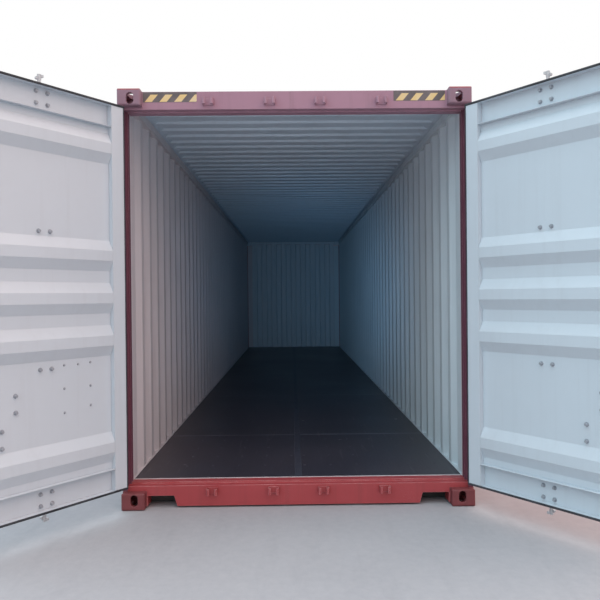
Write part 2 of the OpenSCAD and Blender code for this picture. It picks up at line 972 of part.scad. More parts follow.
// One hinge blade in plan, on a shut left leaf: an eye, a cranked neck and a flat arm on the leaf's face
module blade_2d() {
    outer = leaf_x - pin_x;
    inner = outer - blade_t;
    edge = pin_y - leaf_out;
    translate([pin_x, pin_y])
        difference() {
            union() {
                circle(eye_r);
                polygon([
                    [0, 0],
                    [eye_r, 0],
                    [eye_r, -edge / 2],
                    [outer, -edge + blade_t / 2],
                    [outer, -blade_l],
                    [inner, -blade_l],
                    [inner, -edge + blade_t / 2],
                    [inner / 2, -edge / 2]
                ]);
            }
            circle(pin_r + pin_gap);
        }
}

module door_hinges() {
    color("sienna")
        for (z = hinge_heights())
            along_z(z - blade_h / 2, z + blade_h / 2)
                blade_2d();
}

// Door leaves, drawn shut on the left side

module door_frame() {
    t = leaf_frame_t;
    x = [leaf_x, leaf_back];
    color("sienna")
        union() {
            for (y = [[leaf_in, panel_in], [panel_out, leaf_out]])
                difference() {
                    block(x, y, [leaf_bottom, leaf_top]);
                    block([x[0] + t, x[1] - t], [y[0] + t, y[1] - t], [leaf_bottom - cut, leaf_top - t]);
                }
            along_y(panel_in, panel_out)
                for (z = [leaf_bottom, leaf_top - leaf_channel_h])
                    union() {
                        rect([x[0], x[0] + t], [z, z + leaf_channel_h]);
                        rect(x, [z, z + t]);
                        rect(x, [z + leaf_channel_h - t, z + leaf_channel_h]);
                    }
        }
}

module door_panel() {
    body = panel_crest + 2 * panel_slope;
    low = leaf_bottom + leaf_channel_h;
    high = leaf_top - leaf_channel_h;
    starts = concat(
        [low + panel_edge],
        [for (row = [-panel_near, 0, panel_near]) leaf_mid + row - body / 2],
        [high - panel_edge - body]
    );
    rise = panel_depth - panel_t;
    color("sienna")
        along_y(panel_in, panel_out)
            mirror([1, 0])
                rotate(90)
                    polygon(sheet_outline(low, high, starts, panel_slope, panel_crest,
                                          panel_face, rise, panel_t));
}

module gasket_ring(x, inset, cover) {
    difference() {
        block(x, [leaf_in - gasket_lip, leaf_out + gasket_hinge_lip],
              [leaf_bottom - gasket_lip, leaf_top + gasket_lip]);
        block([x[0] - cut, x[1] + cut], [leaf_in + inset, leaf_out - inset],
              [leaf_bottom + inset, leaf_top - inset]);
    }
}

module door_gasket() {
    color("black")
        union() {
            gasket_ring([leaf_back - gasket_leg, leaf_back], 0);
            gasket_ring([leaf_back, leaf_back + gasket_t], gasket_lap);
        }
}

// A strap over a lock rod in plan, on a plate that sits at depth base and reaches near towards the middle
module bearing_2d(base, near) {
    strap_r = rod_r + rod_gap + strap_t;
    difference() {
        union() {
            intersection() {
                translate([rod_x, 0])
                    circle(strap_r);
                rect([rod_x - strap_r, base], [-strap_r, strap_r]);
            }
            rect([rod_x, base], [-strap_r, strap_r]);
            rect([base - strap_t, base], [-near, strap_w / 2]);
        }
        translate([rod_x, 0])
            circle(rod_r + rod_gap);
        rect([rod_x, leaf_x - rod_leaf_gap + rod_gap], [-rod_r - rod_gap, rod_r + rod_gap]);
    }
}

// The open cradle that a stowed handle lies in
module handle_catch(y, z) {
    back = panel_face;
    gap = handle_h / 2 + catch_gap;
    w = catch_w / 2;
    block([back - catch_t, back], [y - w, y + w], [z - catch_h / 2, z + catch_h / 2]);
    for (shelf = [z - gap - catch_t, z + gap])
        block([rod_x - handle_t, back], [y - w, y + w], [shelf, shelf + catch_t]);
}

module rod_bearings() {
    half = strap_w / 2;
    for (y = [outer_rod_y, inner_rod_y])
        translate([0, y, 0]) {
            for (z = [leaf_bottom + bearing_end, leaf_top - bearing_end - bearing_h])
                along_z(z, z + bearing_h)
                    bearing_2d(leaf_x, half);
            for (z = [leaf_mid - bearing_down, leaf_mid + bearing_up])
                along_z(z - mid_bearing_h / 2, z + mid_bearing_h / 2)
                    bearing_2d(panel_face, min(half, y - panel_in));
        }
}

// A cam in plan: two horns whose noses turn in towards the keeper's base
module cam_2d() {
    t = cam_t / 2;
    translate([rod_x, 0])
        intersection() {
            circle(cam_reach);
            union() {
                square([cam_t, 2 * cam_reach + cut], center = true);
                for (side = [0, 1])
                    mirror([0, side])
                        polygon([
                            [t, cam_core_r],
                            [t + cam_nose, cam_reach - cam_nose],
                            [t + cam_nose, cam_reach],
                            [t, cam_reach]
                        ]);
            }
        }
}

// A cam from the front, with its far end up: one horn high at the hinge side, one low at the other
module cam_front_2d() {
    half = cam_h / 2;
    r = min(cam_tip_r, cam_h / 5);
    rect([-cam_core_r, cam_core_r], [-half, half]);
    rounded_2d(cam_reach, half, r);
    rotate(180)
        rounded_2d(cam_reach, half, r);
}

module cam() {
    intersection() {
        along_z(-cam_h / 2, cam_h / 2)
            cam_2d();
        along_x(rod_x - cam_reach, rod_x + cam_reach)
            cam_front_2d();
    }
}

module lock_rod(y) {
    color("sienna")
        translate([0, y, 0])
            union() {
                along_z(leaf_bottom, leaf_top)
                    translate([rod_x, 0])
                        circle(rod_r);
                along_z(sill_keeper_z - cam_h / 2, header_keeper_z + cam_h / 2)
                    translate([rod_x, 0])
                        circle(cam_core_r);
                for (z = [leaf_bottom + bearing_end + bearing_h + rod_leaf_gap,
                          leaf_top - bearing_end - bearing_h - rod_leaf_gap - collar_h])
                    along_z(z, z + collar_h)
                        translate([rod_x, 0])
                            circle(collar_r);
                translate([0, 0, header_keeper_z])
                    cam();
                translate([0, 0, sill_keeper_z])
                    mirror([0, 0, 1])
                        cam();
            }
}

// The hub that holds a handle to its rod, hollowed to the rod's round
module handle_hub() {
    along_z(-hub_h / 2, hub_h / 2)
        difference() {
            rect([rod_x - handle_t, rod_x + handle_t], [0, hub_l]);
            translate([rod_x, 0])
                circle(rod_r + rod_gap);
        }
}

// A stowed handle that points along Y from its hub: a flat bar that narrows and drops to its grip
module handle(y, z, turn) {
    grip = grip_h / 2;
    root = handle_h / 2;
    bend = handle_l / 4;
    color("sienna")
        translate([0, y, z])
            mirror([0, turn > 0 ? 0 : 1, 0])
                union() {
                    handle_hub();
                    along_x(rod_x - handle_t / 2, rod_x + handle_t / 2)
                        union() {
                            polygon([
                                [hub_l, -root],
                                [bend, -root],
                                [2 * bend, -grip - grip_drop],
                                [handle_l - grip, -grip - grip_drop],
                                [handle_l - grip, grip - grip_drop],
                                [2 * bend, grip - grip_drop],
                                [bend, root],
                                [hub_l, root]
                            ]);
                            translate([handle_l - grip, -grip_drop])
                                circle(grip);
                        }
                }
}

module left_door_frame() left_leaf() door_frame();
module left_door_panel() left_leaf() door_panel();
module left_door_gasket() left_leaf() door_gasket();
module left_door_hinges() left_leaf() door_hinges();
module left_outer_lock_rod() left_leaf() lock_rod(outer_rod_y);
module left_outer_handle() left_leaf() handle(outer_rod_y, lower_handle_z, -1);
module left_inner_lock_rod() left_leaf() lock_rod(inner_rod_y);
module left_inner_handle() left_leaf() handle(inner_rod_y, upper_handle_z, 1);

module left_rod_bearings() {
    color("sienna")
        left_leaf() {
            rod_bearings();
            handle_catch(outer_rod_y - left_lower_catch, lower_handle_z);
            handle_catch(inner_rod_y + left_upper_catch, upper_handle_z);
        }
}

module right_door_frame() right_leaf() door_frame();
module right_door_panel() right_leaf() door_panel();
module right_door_gasket() right_leaf() door_gasket();
module right_door_hinges() right_leaf() door_hinges();
module right_outer_lock_rod() right_leaf() lock_rod(outer_rod_y);
module right_outer_handle() right_leaf() handle(outer_rod_y, upper_handle_z, -1);
module right_inner_lock_rod() right_leaf() lock_rod(inner_rod_y);
module right_inner_handle() right_leaf() handle(inner_rod_y, lower_handle_z, 1);

module right_rod_bearings() {
    color("sienna")
        right_leaf() {
            rod_bearings();
            handle_catch(outer_rod_y - right_upper_catch, upper_handle_z);
            handle_catch(inner_rod_y + right_lower_catch, lower_handle_z);
        }
}

bottom_corner_castings();
top_corner_castings();
left_rear_post();
right_rear_post();
left_front_post();
right_front_post();
door_header();
door_sill();
front_top_rail();
front_bottom_rail();
left_top_rail();
right_top_rail();
left_bottom_rail();
right_bottom_rail();
left_side_wall();
right_side_wall();
front_wall();
roof_panel();
cross_members();
gooseneck_tunnel();
tunnel_sides();
tunnel_bows();
tunnel_outriggers();
floor_sheets();
floor_centre_strip();
threshold();
header_cam_keepers();
sill_cam_keepers();
left_hinge_lugs();
right_hinge_lugs();
left_door_frame();
left_door_panel();
left_door_gasket();
left_door_hinges();
left_rod_bearings();
left_outer_lock_rod();
left_outer_handle();
left_inner_lock_rod();
left_inner_handle();
right_door_frame();
right_door_panel();
right_door_gasket();
right_door_hinges();
right_rod_bearings();
right_outer_lock_rod();
right_outer_handle();
right_inner_lock_rod();
right_inner_handle();
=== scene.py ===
"""The looks of a forty foot high cube freight container, with its doors open and seen from outside them."""

import json
import math

import bmesh
import bpy
from mathutils import Matrix, Vector


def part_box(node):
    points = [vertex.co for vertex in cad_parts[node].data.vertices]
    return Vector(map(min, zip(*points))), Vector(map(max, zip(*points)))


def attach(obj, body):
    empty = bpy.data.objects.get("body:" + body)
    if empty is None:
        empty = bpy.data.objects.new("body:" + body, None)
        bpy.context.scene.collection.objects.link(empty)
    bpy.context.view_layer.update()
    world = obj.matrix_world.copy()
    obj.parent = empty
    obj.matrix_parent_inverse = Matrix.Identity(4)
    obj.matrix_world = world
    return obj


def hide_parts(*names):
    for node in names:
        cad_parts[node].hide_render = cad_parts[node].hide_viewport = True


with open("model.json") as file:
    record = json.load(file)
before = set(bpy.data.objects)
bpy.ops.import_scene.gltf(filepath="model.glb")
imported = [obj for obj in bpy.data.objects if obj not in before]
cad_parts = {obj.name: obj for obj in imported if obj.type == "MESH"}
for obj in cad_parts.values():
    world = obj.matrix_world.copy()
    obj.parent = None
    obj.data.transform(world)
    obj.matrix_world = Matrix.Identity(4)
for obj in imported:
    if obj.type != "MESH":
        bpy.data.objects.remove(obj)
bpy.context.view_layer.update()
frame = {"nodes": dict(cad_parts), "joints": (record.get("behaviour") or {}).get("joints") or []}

# The camera, solved from the corners of the end frame
CAMERA_AT = (-10.488, 0.030, 1.457)
CAMERA_YAW_DEG = -0.67
CAMERA_TILT_DEG = -0.28
CAMERA_ROLL_DEG = -0.57
CAMERA_LENS_MM = 38.41
CAMERA_SENSOR_MM = 36
CAMERA_REACH = 200

# Sizes of the shut left leaf, in metres. The right leaf mirrors it.
PIN_DEPTH = 0.022
PIN_Y = 1.203
LEAF_OUTER = 0.046
LEAF_INNER = 0.096
LEAF_MIDDLE_Y = 0.012
LEAF_HINGE_Y = 1.177
LEAF_LOW = 0.174
LEAF_HIGH = 2.748
LEAF_SKIN = 0.004
LEAF_MID_Z = (LEAF_LOW + LEAF_HIGH) / 2
PANEL_DEPTH = 0.036
PANEL_FACE = LEAF_INNER - PANEL_DEPTH
PANEL_CREST = 0.066
PANEL_SLOPE = 0.068
PANEL_RIDGE = PANEL_CREST + 2 * PANEL_SLOPE
PANEL_NEAR = 0.280
PANEL_EDGE = 0.045
CHANNEL_H = 0.150
OUTER_ROD_Y = 0.600
INNER_ROD_Y = 0.174
UPPER_HANDLE_Z = 0.845
LOWER_HANDLE_Z = 0.650

castings_low, castings_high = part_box("bottom_corner_castings")
DOOR_X = castings_low.x
FRONT_X = castings_high.x
HALF_W = castings_high.y
CASTING_W = 0.162
CASTING_H = castings_high.z
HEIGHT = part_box("top_corner_castings")[1].z

# The corrugated side walls, whose raised flats are centred along them
wall_low, wall_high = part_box("left_side_wall")
SHEET_T = 0.002
WALL_PITCH = 0.278
WALL_CREST = 0.072
WALL_SLOPE = 0.068
WALL_RIDGE = WALL_CREST + 2 * WALL_SLOPE
WALL_COUNT = math.floor((wall_high.x - wall_low.x) / WALL_PITCH)
WALL_START = (wall_low.x + wall_high.x - (WALL_COUNT - 1) * WALL_PITCH - WALL_RIDGE) / 2

EDGE_ROUND = 0.006
MARGIN = 0.001
POST_PAINT_DEPTH = 0.155
FRONT_PAINT_DEPTH = 0.060
# A depth that no piece reaches
NOWHERE = 10.0
# A face whose turn towards a direction is within this stands across it
ACROSS = 0.2


# Nodes

def feed(tree, node, inputs):
    """Values set, or sockets linked, at a node's inputs."""
    for key, value in inputs.items():
        if isinstance(value, bpy.types.NodeSocket):
            tree.links.new(value, node.inputs[key])
        else:
            node.inputs[key].default_value = value


def add_node(tree, kind, inputs=None, **settings):
    """A node with its settings, whose inputs are values or sockets to link."""
    made = tree.nodes.new(kind)
    for name, value in settings.items():
        setattr(made, name, value)
    feed(tree, made, inputs or {})
    return made


def math_node(tree, operation, *values, clamp=False):
    return add_node(tree, "ShaderNodeMath", dict(enumerate(values)), operation=operation, use_clamp=clamp).outputs[0]


def joining(operation):
    """A function that joins values by one operation, from left to right."""
    def join(tree, value, *others, clamp=False):
        for other in others:
            value = math_node(tree, operation, value, other, clamp=clamp)
        return value
    return join


plus, minus, times, over = (joining(name) for name in ("ADD", "SUBTRACT", "MULTIPLY", "DIVIDE"))
least, most, below, above = (joining(name) for name in ("MINIMUM", "MAXIMUM", "LESS_THAN", "GREATER_THAN"))


def ramp(tree, value, low, high):
    """Nought below low, one above high, and a straight slope between."""
    made = add_node(tree, "ShaderNodeMapRange", {"Value": value, "From Min": low, "From Max": high})
    return made.outputs["Result"]


def mix_colour(tree, share, first, second):
    return add_node(tree, "ShaderNodeMix", {0: share, 6: first, 7: second}, data_type="RGBA").outputs[2]


def mix_value(tree, share, first, second):
    return add_node(tree, "ShaderNodeMix", {0: share, 2: first, 3: second}, data_type="FLOAT").outputs[0]


def coated(tree, base, coat, mask, strength):
    """A colour over a base where a mask is, at some strength."""
    return mix_colour(tree, times(tree, mask, strength), base, (*coat, 1))


def dot(tree, one, other):
    made = add_node(tree, "ShaderNodeVectorMath", {0: one, 1: other}, operation="DOT_PRODUCT")
    return made.outputs["Value"]


def coordinates(tree):
    return add_node(tree, "ShaderNodeTexCoord").outputs


def axes(tree, vector):
    return add_node(tree, "ShaderNodeSeparateXYZ", {0: vector}).outputs


def stretched(tree, x=1, y=1, z=1):
    """Object coordinates with each axis scaled."""
    place = coordinates(tree)["Object"]
    return add_node(tree, "ShaderNodeMapping", {"Vector": place, "Scale": (x, y, z)}).outputs["Vector"]


def noise(tree, vector, scale, detail=3.0, roughness=0.55):
    made = add_node(tree, "ShaderNodeTexNoise",
                    {"Vector": vector, "Scale": scale, "Detail": detail, "Roughness": roughness})
    return made.outputs["Fac"]


def cells(tree, vector, scale):
    return add_node(tree, "ShaderNodeTexVoronoi", {"Vector": vector, "Scale": scale}, feature="F1").outputs


def specks(tree, vector, scale, full, faded, kept_scale, kept_above):
    """Round specks, full up to one radius and gone at another, of which a noise keeps some."""
    near = minus(tree, 1, ramp(tree, cells(tree, vector, scale)["Distance"], full, faded))
    return times(tree, near, above(tree, noise(tree, vector, kept_scale, 2), kept_above))


def bump(tree, height, distance, **more):
    return add_node(tree, "ShaderNodeBump", {"Height": height, "Distance": distance, **more}).outputs["Normal"]


def new_tree(kind, name, inputs, outputs):
    """A node tree with named inputs and outputs: the tree, what it is given, and its output node."""
    tree = bpy.data.node_groups.new(name, kind)
    for label, socket_kind, value in inputs:
        socket = tree.interface.new_socket(label, in_out="INPUT", socket_type="NodeSocket" + socket_kind)
        if value is not None:
            socket.default_value = value
    for label, socket_kind in outputs:
        tree.interface.new_socket(label, in_out="OUTPUT", socket_type="NodeSocket" + socket_kind)
    return tree, tree.nodes.new("NodeGroupInput").outputs, tree.nodes.new("NodeGroupOutput")


# Effects that several materials use

def build_weathered_paint():
    """Rolled paint on steel: uneven tone, rain streaks, grime, fine scratches, rust specks and a soft skin."""
    tree, given, out = new_tree(
        "ShaderNodeTree", "weathered_paint",
        [("Paint", "Color", (0.5, 0.5, 0.5, 1)), ("Grime", "Color", (0.1, 0.1, 0.1, 1)),
         ("Rust", "Color", (0.2, 0.06, 0.02, 1)), ("Unevenness", "Float", 0.1), ("Streaks", "Float", 0.2),
         ("Rust Specks", "Float", 0.2), ("Scratches", "Float", 0.2), ("Gloss", "Float", 0.45)],
        [("Color", "Color"), ("Roughness", "Float"), ("Height", "Float")])
    even = stretched(tree)
    cloud = noise(tree, even, 1.1, 4)
    fine = noise(tree, even, 14, 4)
    tone = plus(tree, times(tree, cloud, 0.7), times(tree, fine, 0.3))
    swing = times(tree, minus(tree, tone, 0.5), given["Unevenness"])
    bright = plus(tree, 1, times(tree, swing, 2))
    toned = add_node(tree, "ShaderNodeHueSaturation", {"Value": bright, "Color": given["Paint"]}).outputs[0]
    runs = noise(tree, stretched(tree, 11, 11, 0.5), 1.6, 5, 0.6)
    grimed = mix_colour(tree, times(tree, ramp(tree, runs, 0.52, 0.78), given["Streaks"]), toned, given["Grime"])
    lines = noise(tree, stretched(tree, 3, 3, 60), 7, 2, 0.4)
    thin = minus(tree, 1, ramp(tree, math_node(tree, "ABSOLUTE", minus(tree, lines, 0.5)), 0.0, 0.006))
    patch = ramp(tree, noise(tree, even, 2.3, 2), 0.55, 0.68)
    scratched = mix_colour(tree, times(tree, thin, patch, given["Scratches"]), grimed, (0.62, 0.60, 0.60, 1))
    speck = times(tree, specks(tree, even, 9.0, 0.03, 0.09, 5.3, 0.60), given["Rust Specks"])
    rough = plus(tree, given["Gloss"], times(tree, fine, 0.16))
    peel = times(tree, noise(tree, even, 260, 2), 0.25)
    dents = times(tree, cloud, 3.0)
    feed(tree, out, {"Color": mix_colour(tree, speck, scratched, given["Rust"]),
                     "Roughness": plus(tree, rough, times(tree, speck, 0.3), clamp=True),
                     "Height": plus(tree, peel, plus(tree, dents, times(tree, speck, -0.6)))})
    return tree


def facing_and_across(tree, normal, direction):
    """The masks of what faces a direction, and of what stands across it."""
    turned = dot(tree, normal, direction)
    facing = above(tree, turned, ACROSS)
    return facing, times(tree, above(tree, turned, -ACROSS), minus(tree, 1, facing))


def build_inner_side():
    """One where the surface faces inwards, or stands across and lies deeper than the change of paint."""
    tree, given, out = new_tree(
        "ShaderNodeTree", "inner_side", [("Inwards", "Vector", (0, 0, -1)), ("Change At", "Float", 0.0)],
        [("Inner", "Float"), ("Across", "Float"), ("Facing", "Float"), ("Deep", "Float")])
    place = coordinates(tree)
    facing, across = facing_and_across(tree, place["Normal"], given["Inwards"])
    deep = above(tree, dot(tree, place["Object"], given["Inwards"]), given["Change At"])
    feed(tree, out, {"Inner": plus(tree, facing, times(tree, across, deep)), "Across": across, "Facing": facing,
                     "Deep": deep})
    return tree


def build_wall_wave():
    """One between the two corrugated side walls, nought in the pockets outside them."""
    tree, given, out = new_tree(
        "ShaderNodeTree", "wall_wave",
        [("Start", "Float", 0.0), ("End", "Float", 1.0), ("Pitch", "Float", 0.3), ("Slope", "Float", 0.1),
         ("Ridge", "Float", 0.2), ("Near", "Float", 1.0), ("Rise", "Float", 0.1)],
        [("Between", "Float")])
    place = axes(tree, coordinates(tree)["Object"])
    share = math_node(tree, "FRACT", over(tree, minus(tree, place["X"], given["Start"]), given["Pitch"]))
    along = times(tree, share, given["Pitch"])
    climb = over(tree, along, given["Slope"])
    fall = over(tree, minus(tree, given["Ridge"], along), given["Slope"])
    lift = times(tree, least(tree, climb, fall, clamp=True), above(tree, place["X"], given["Start"]),
                 below(tree, place["X"], given["End"]))
    line = plus(tree, given["Near"], times(tree, lift, given["Rise"]))
    feed(tree, out, {"Between": below(tree, math_node(tree, "ABSOLUTE", place["Y"]), line)})
    return tree


def build_leaf_side():
    """One on a leaf's inner face, and on what stands across behind its pressed panel or inside its channels."""
    tree, given, out = new_tree(
        "ShaderNodeTree", "leaf_side",
        [("Inwards", "Vector", (1, 0, 0)), ("Along", "Vector", (0, -1, 0)), ("Face At", "Float", 0.0),
         ("Pin At", "Float", 0.0)],
        [("Inner", "Float")])

    def within(value, low, high):
        middle = minus(tree, value, (low + high) / 2)
        return below(tree, math_node(tree, "ABSOLUTE", middle), (high - low) / 2)

    place = coordinates(tree)
    facing, across = facing_and_across(tree, place["Normal"], given["Inwards"])
    depth = minus(tree, dot(tree, place["Object"], given["Inwards"]), given["Face At"])
    reach = minus(tree, dot(tree, place["Object"], given["Along"]), given["Pin At"])
    z = axes(tree, place["Object"])["Z"]
    low, high = LEAF_LOW + CHANNEL_H, LEAF_HIGH - CHANNEL_H
    starts = [low + PANEL_EDGE] + [LEAF_MID_Z + row - PANEL_RIDGE / 2 for row in (-PANEL_NEAR, 0, PANEL_NEAR)]
    lift = 0.0
    for start in starts + [high - PANEL_EDGE - PANEL_RIDGE]:
        end = start + PANEL_RIDGE
        climb, fall = ramp(tree, z, start, start + PANEL_SLOPE), ramp(tree, z, end, end - PANEL_SLOPE)
        lift = most(tree, lift, least(tree, climb, fall))
    sheet = plus(tree, PANEL_FACE + SHEET_T / 2, times(tree, lift, PANEL_DEPTH - SHEET_T))
    line = mix_value(tree, within(z, low - MARGIN, high + MARGIN), LEAF_OUTER + LEAF_SKIN + MARGIN / 2, sheet)
    hidden = times(tree, across, above(tree, depth, line), within(z, LEAF_LOW + MARGIN, LEAF_HIGH - MARGIN),
                   within(reach, PIN_Y - LEAF_HINGE_Y + MARGIN, PIN_Y - LEAF_MIDDLE_Y - MARGIN))
    feed(tree, out, {"Inner": plus(tree, facing, hidden)})
    return tree


def build_edge_wear_and_highlight():
    """Pale colour along edges, broken up by noise: partly wear and partly a painted highlight where rounded edges
    catch the sky; and a soft rounding of every edge.
    """
    tree, given, out = new_tree(
        "ShaderNodeTree", "edge_wear_and_highlight", [("Radius", "Float", 0.004), ("Strength", "Float", 0.5)],
        [("Wear And Highlight", "Float"), ("Normal", "Vector")])
    soft = add_node(tree, "ShaderNodeBevel", {"Radius": given["Radius"]}, samples=4).outputs["Normal"]
    true = add_node(tree, "ShaderNodeNewGeometry").outputs["Normal"]
    edge = ramp(tree, minus(tree, 1, dot(tree, soft, true)), 0.01, 0.12)
    edge_wear_and_light = ramp(tree, noise(tree, stretched(tree), 6, 5, 0.7), 0.30, 0.62)
    feed(tree, out, {"Wear And Highlight": times(tree, edge, edge_wear_and_light, given["Strength"]), "Normal": soft})
    return tree


WEATHERED = build_weathered_paint()
INNER_SIDE = build_inner_side()
WALL_WAVE = build_wall_wave()
LEAF_SIDE = build_leaf_side()
EDGE_WEAR_AND_HIGHLIGHT = build_edge_wear_and_highlight()


def placed_group(tree, group, values):
    """A node group in a material, with its values set."""
    return add_node(tree, "ShaderNodeGroup", values, node_tree=group).outputs


# Masks: each takes a material's tree and gives one where the mask is

def side_mask(label, direction, change_at=0.0):
    """One output of inner_side for a direction."""
    return lambda tree: placed_group(tree, INNER_SIDE, {"Inwards": direction, "Change At": change_at})[label]


def faces_inwards(inwards):
    """The inner face of a sheet."""
    return side_mask("Inner", inwards, NOWHERE)


def looks(direction):
    """The faces that look in a direction."""
    return side_mask("Facing", direction)


def beyond(direction, change_at):
    """What lies beyond a distance in a direction."""
    return side_mask("Deep", direction, change_at)


def any_of(*masks):
    return lambda tree: most(tree, *(mask(tree) for mask in masks))


def all_of(*masks):
    return lambda tree: times(tree, *(mask(tree) for mask in masks))


def wall_between(tree):
    """The space between the corrugated side walls."""
    return placed_group(tree, WALL_WAVE, {
        "Start": WALL_START, "End": WALL_START + (WALL_COUNT - 1) * WALL_PITCH + WALL_RIDGE, "Pitch": WALL_PITCH,
        "Slope": WALL_SLOPE, "Ridge": WALL_RIDGE, "Near": wall_low.y + SHEET_T,
        "Rise": wall_high.y - wall_low.y - SHEET_T})["Between"]


def rail_inside(inwards):
    """A side rail's inner face, and what of it lies between the corrugated walls."""
    def mask(tree):
        side = placed_group(tree, INNER_SIDE, {"Inwards": inwards})
        return plus(tree, side["Facing"], times(tree, side["Across"], wall_between(tree)))
    return mask


def corner_inside(*ways):
    """The faces of a post or end rail in each of two directions that lie deep enough in the other."""
    def mask(tree):
        one, other = (placed_group(tree, INNER_SIDE, {"Inwards": inwards, "Change At": at}) for inwards, at in ways)
        return most(tree, times(tree, one["Facing"], other["Deep"]), times(tree, other["Facing"], one["Deep"]))
    return mask


def leaf_inside(side):
    """An open leaf's inner face, and what lies behind its panel."""
    def mask(tree):
        inwards, along = leaf_way(side, 1, 0), leaf_way(side, 0, -1)
        pin = LEAF[side] @ Vector((DOOR_X, PIN_Y, 0))
        return placed_group(tree, LEAF_SIDE, {"Inwards": tuple(inwards), "Along": tuple(along),
                                              "Face At": inwards.dot(pin), "Pin At": along.dot(pin)})["Inner"]
    return mask


# Materials

def finish_of(paint, grime, unevenness, streaks, rust, scratches, gloss):
    return {"Paint": (*paint, 1), "Grime": (*grime, 1), "Unevenness": unevenness, "Streaks": streaks,
            "Rust Specks": rust, "Scratches": scratches, "Gloss": gloss}


RED = finish_of((0.385, 0.053, 0.060), (0.09, 0.030, 0.030), 0.16, 0.22, 0.30, 0.30, 0.40)
# Darker, purpler red: painted shade on the rear posts' faces towards the doors
SHADED_POST_RED = finish_of((0.160, 0.047, 0.078), (0.06, 0.025, 0.035), 0.14, 0.22, 0.25, 0.15, 0.45)
# Darker red: painted shade from the open doors, with grime, on the bottom castings and the low welds
SHADED_CASTING_RED = finish_of((0.195, 0.042, 0.047), (0.06, 0.025, 0.025), 0.22, 0.30, 0.40, 0.30, 0.50)
# Red paled to mauve: a painted sky reflection and haze on the header's faces and on the high welds
SKY_REFLECTION_RED = finish_of((0.400, 0.215, 0.280), (0.17, 0.10, 0.11), 0.14, 0.30, 0.25, 0.20, 0.50)
WALL_RED = finish_of((0.330, 0.056, 0.062), (0.08, 0.03, 0.03), 0.18, 0.30, 0.30, 0.35, 0.45)
LINING_GREY = finish_of((0.660, 0.700, 0.735), (0.22, 0.20, 0.20), 0.08, 0.14, 0.04, 0.18, 0.40)
# The inner grey tinted by the colour of the light that falls on it: warm on the left wall, cool on the right wall
# and the roof
WARM_LIT_LEFT_LINING = finish_of((0.705, 0.650, 0.668), (0.24, 0.18, 0.18), 0.08, 0.16, 0.04, 0.18, 0.40)
COOL_LIT_RIGHT_LINING = finish_of((0.722, 0.800, 0.840), (0.22, 0.22, 0.23), 0.08, 0.12, 0.04, 0.18, 0.40)
COOL_LIT_ROOF_LINING = finish_of((0.645, 0.755, 0.850), (0.20, 0.21, 0.22), 0.08, 0.12, 0.04, 0.10, 0.40)
# Paler grey: a painted highlight on the rear posts' inner faces
HIGHLIT_POST_LINING = finish_of((0.800, 0.760, 0.780), (0.30, 0.26, 0.27), 0.06, 0.10, 0.04, 0.10, 0.36)
DOOR_GREY = finish_of((0.600, 0.655, 0.705), (0.30, 0.28, 0.28), 0.05, 0.08, 0.03, 0.12, 0.36)
WORN_STEEL = finish_of((0.700, 0.600, 0.600), (0.20, 0.12, 0.12), 0.20, 0.30, 0.30, 0.50, 0.35)
STRIP_STEEL = finish_of((0.050, 0.048, 0.066), (0.02, 0.02, 0.02), 0.30, 0.30, 0.20, 0.50, 0.35)
# Red paled to mauve: a painted sky reflection and haze on the top castings
SKY_REFLECTION_TOP_CASTING = finish_of((0.300, 0.175, 0.225), (0.12, 0.08, 0.09), 0.22, 0.35, 0.35, 0.20, 0.52)
# Edge colours: partly wear, partly a painted highlight where rounded edges catch the sky
WORN_AND_HIGHLIT_EDGE = (0.760, 0.400, 0.400, 1)
SKY_REFLECTION_EDGE = (0.560, 0.400, 0.450, 1)
PALE_WORN_AND_HIGHLIT_EDGE = (0.800, 0.810, 0.830, 1)
STRIP_EDGE = (0.250, 0.250, 0.280, 1)
PAINT_SKIN = 0.0012


def new_material(name):
    """A material, its empty tree, and the shader joined to its output."""
    made = bpy.data.materials.new(name)
    made.use_nodes = True
    tree = made.node_tree
    tree.nodes.clear()
    shader = tree.nodes.new("ShaderNodeBsdfPrincipled")
    add_node(tree, "ShaderNodeOutputMaterial", {"Surface": shader.outputs["BSDF"]})
    return made, tree, shader


def paint_material(name, outside, *layers, edge=WORN_AND_HIGHLIT_EDGE, wear=0.5):
    """Painted steel. A layer is another finish, the mask that says where it is, and the colour of its edges. Wear
    sets how strongly edges are paled, which is partly wear and partly a painted highlight.
    """
    made, tree, shader = new_material(name)
    outer = placed_group(tree, WEATHERED, outside)
    colour, rough, height = outer["Color"], outer["Roughness"], outer["Height"]
    for finish, mask, rim in layers:
        other = placed_group(tree, WEATHERED, finish)
        share = mask(tree)
        colour = mix_colour(tree, share, colour, other["Color"])
        rough = mix_value(tree, share, rough, other["Roughness"])
        height = mix_value(tree, share, height, other["Height"])
        edge = mix_colour(tree, share, edge, rim)
    edge_wear_and_light = placed_group(tree, EDGE_WEAR_AND_HIGHLIGHT, {"Radius": EDGE_ROUND, "Strength": wear})
    feed(tree, shader, {"Base Color": mix_colour(tree, edge_wear_and_light["Wear And Highlight"], colour, edge), "Roughness": rough,
                        "Normal": bump(tree, height, PAINT_SKIN, Normal=edge_wear_and_light["Normal"])})
    return made


BOARD_L = 2.400
FIRST_JOINT = 1.600
JOINT_W = 0.050


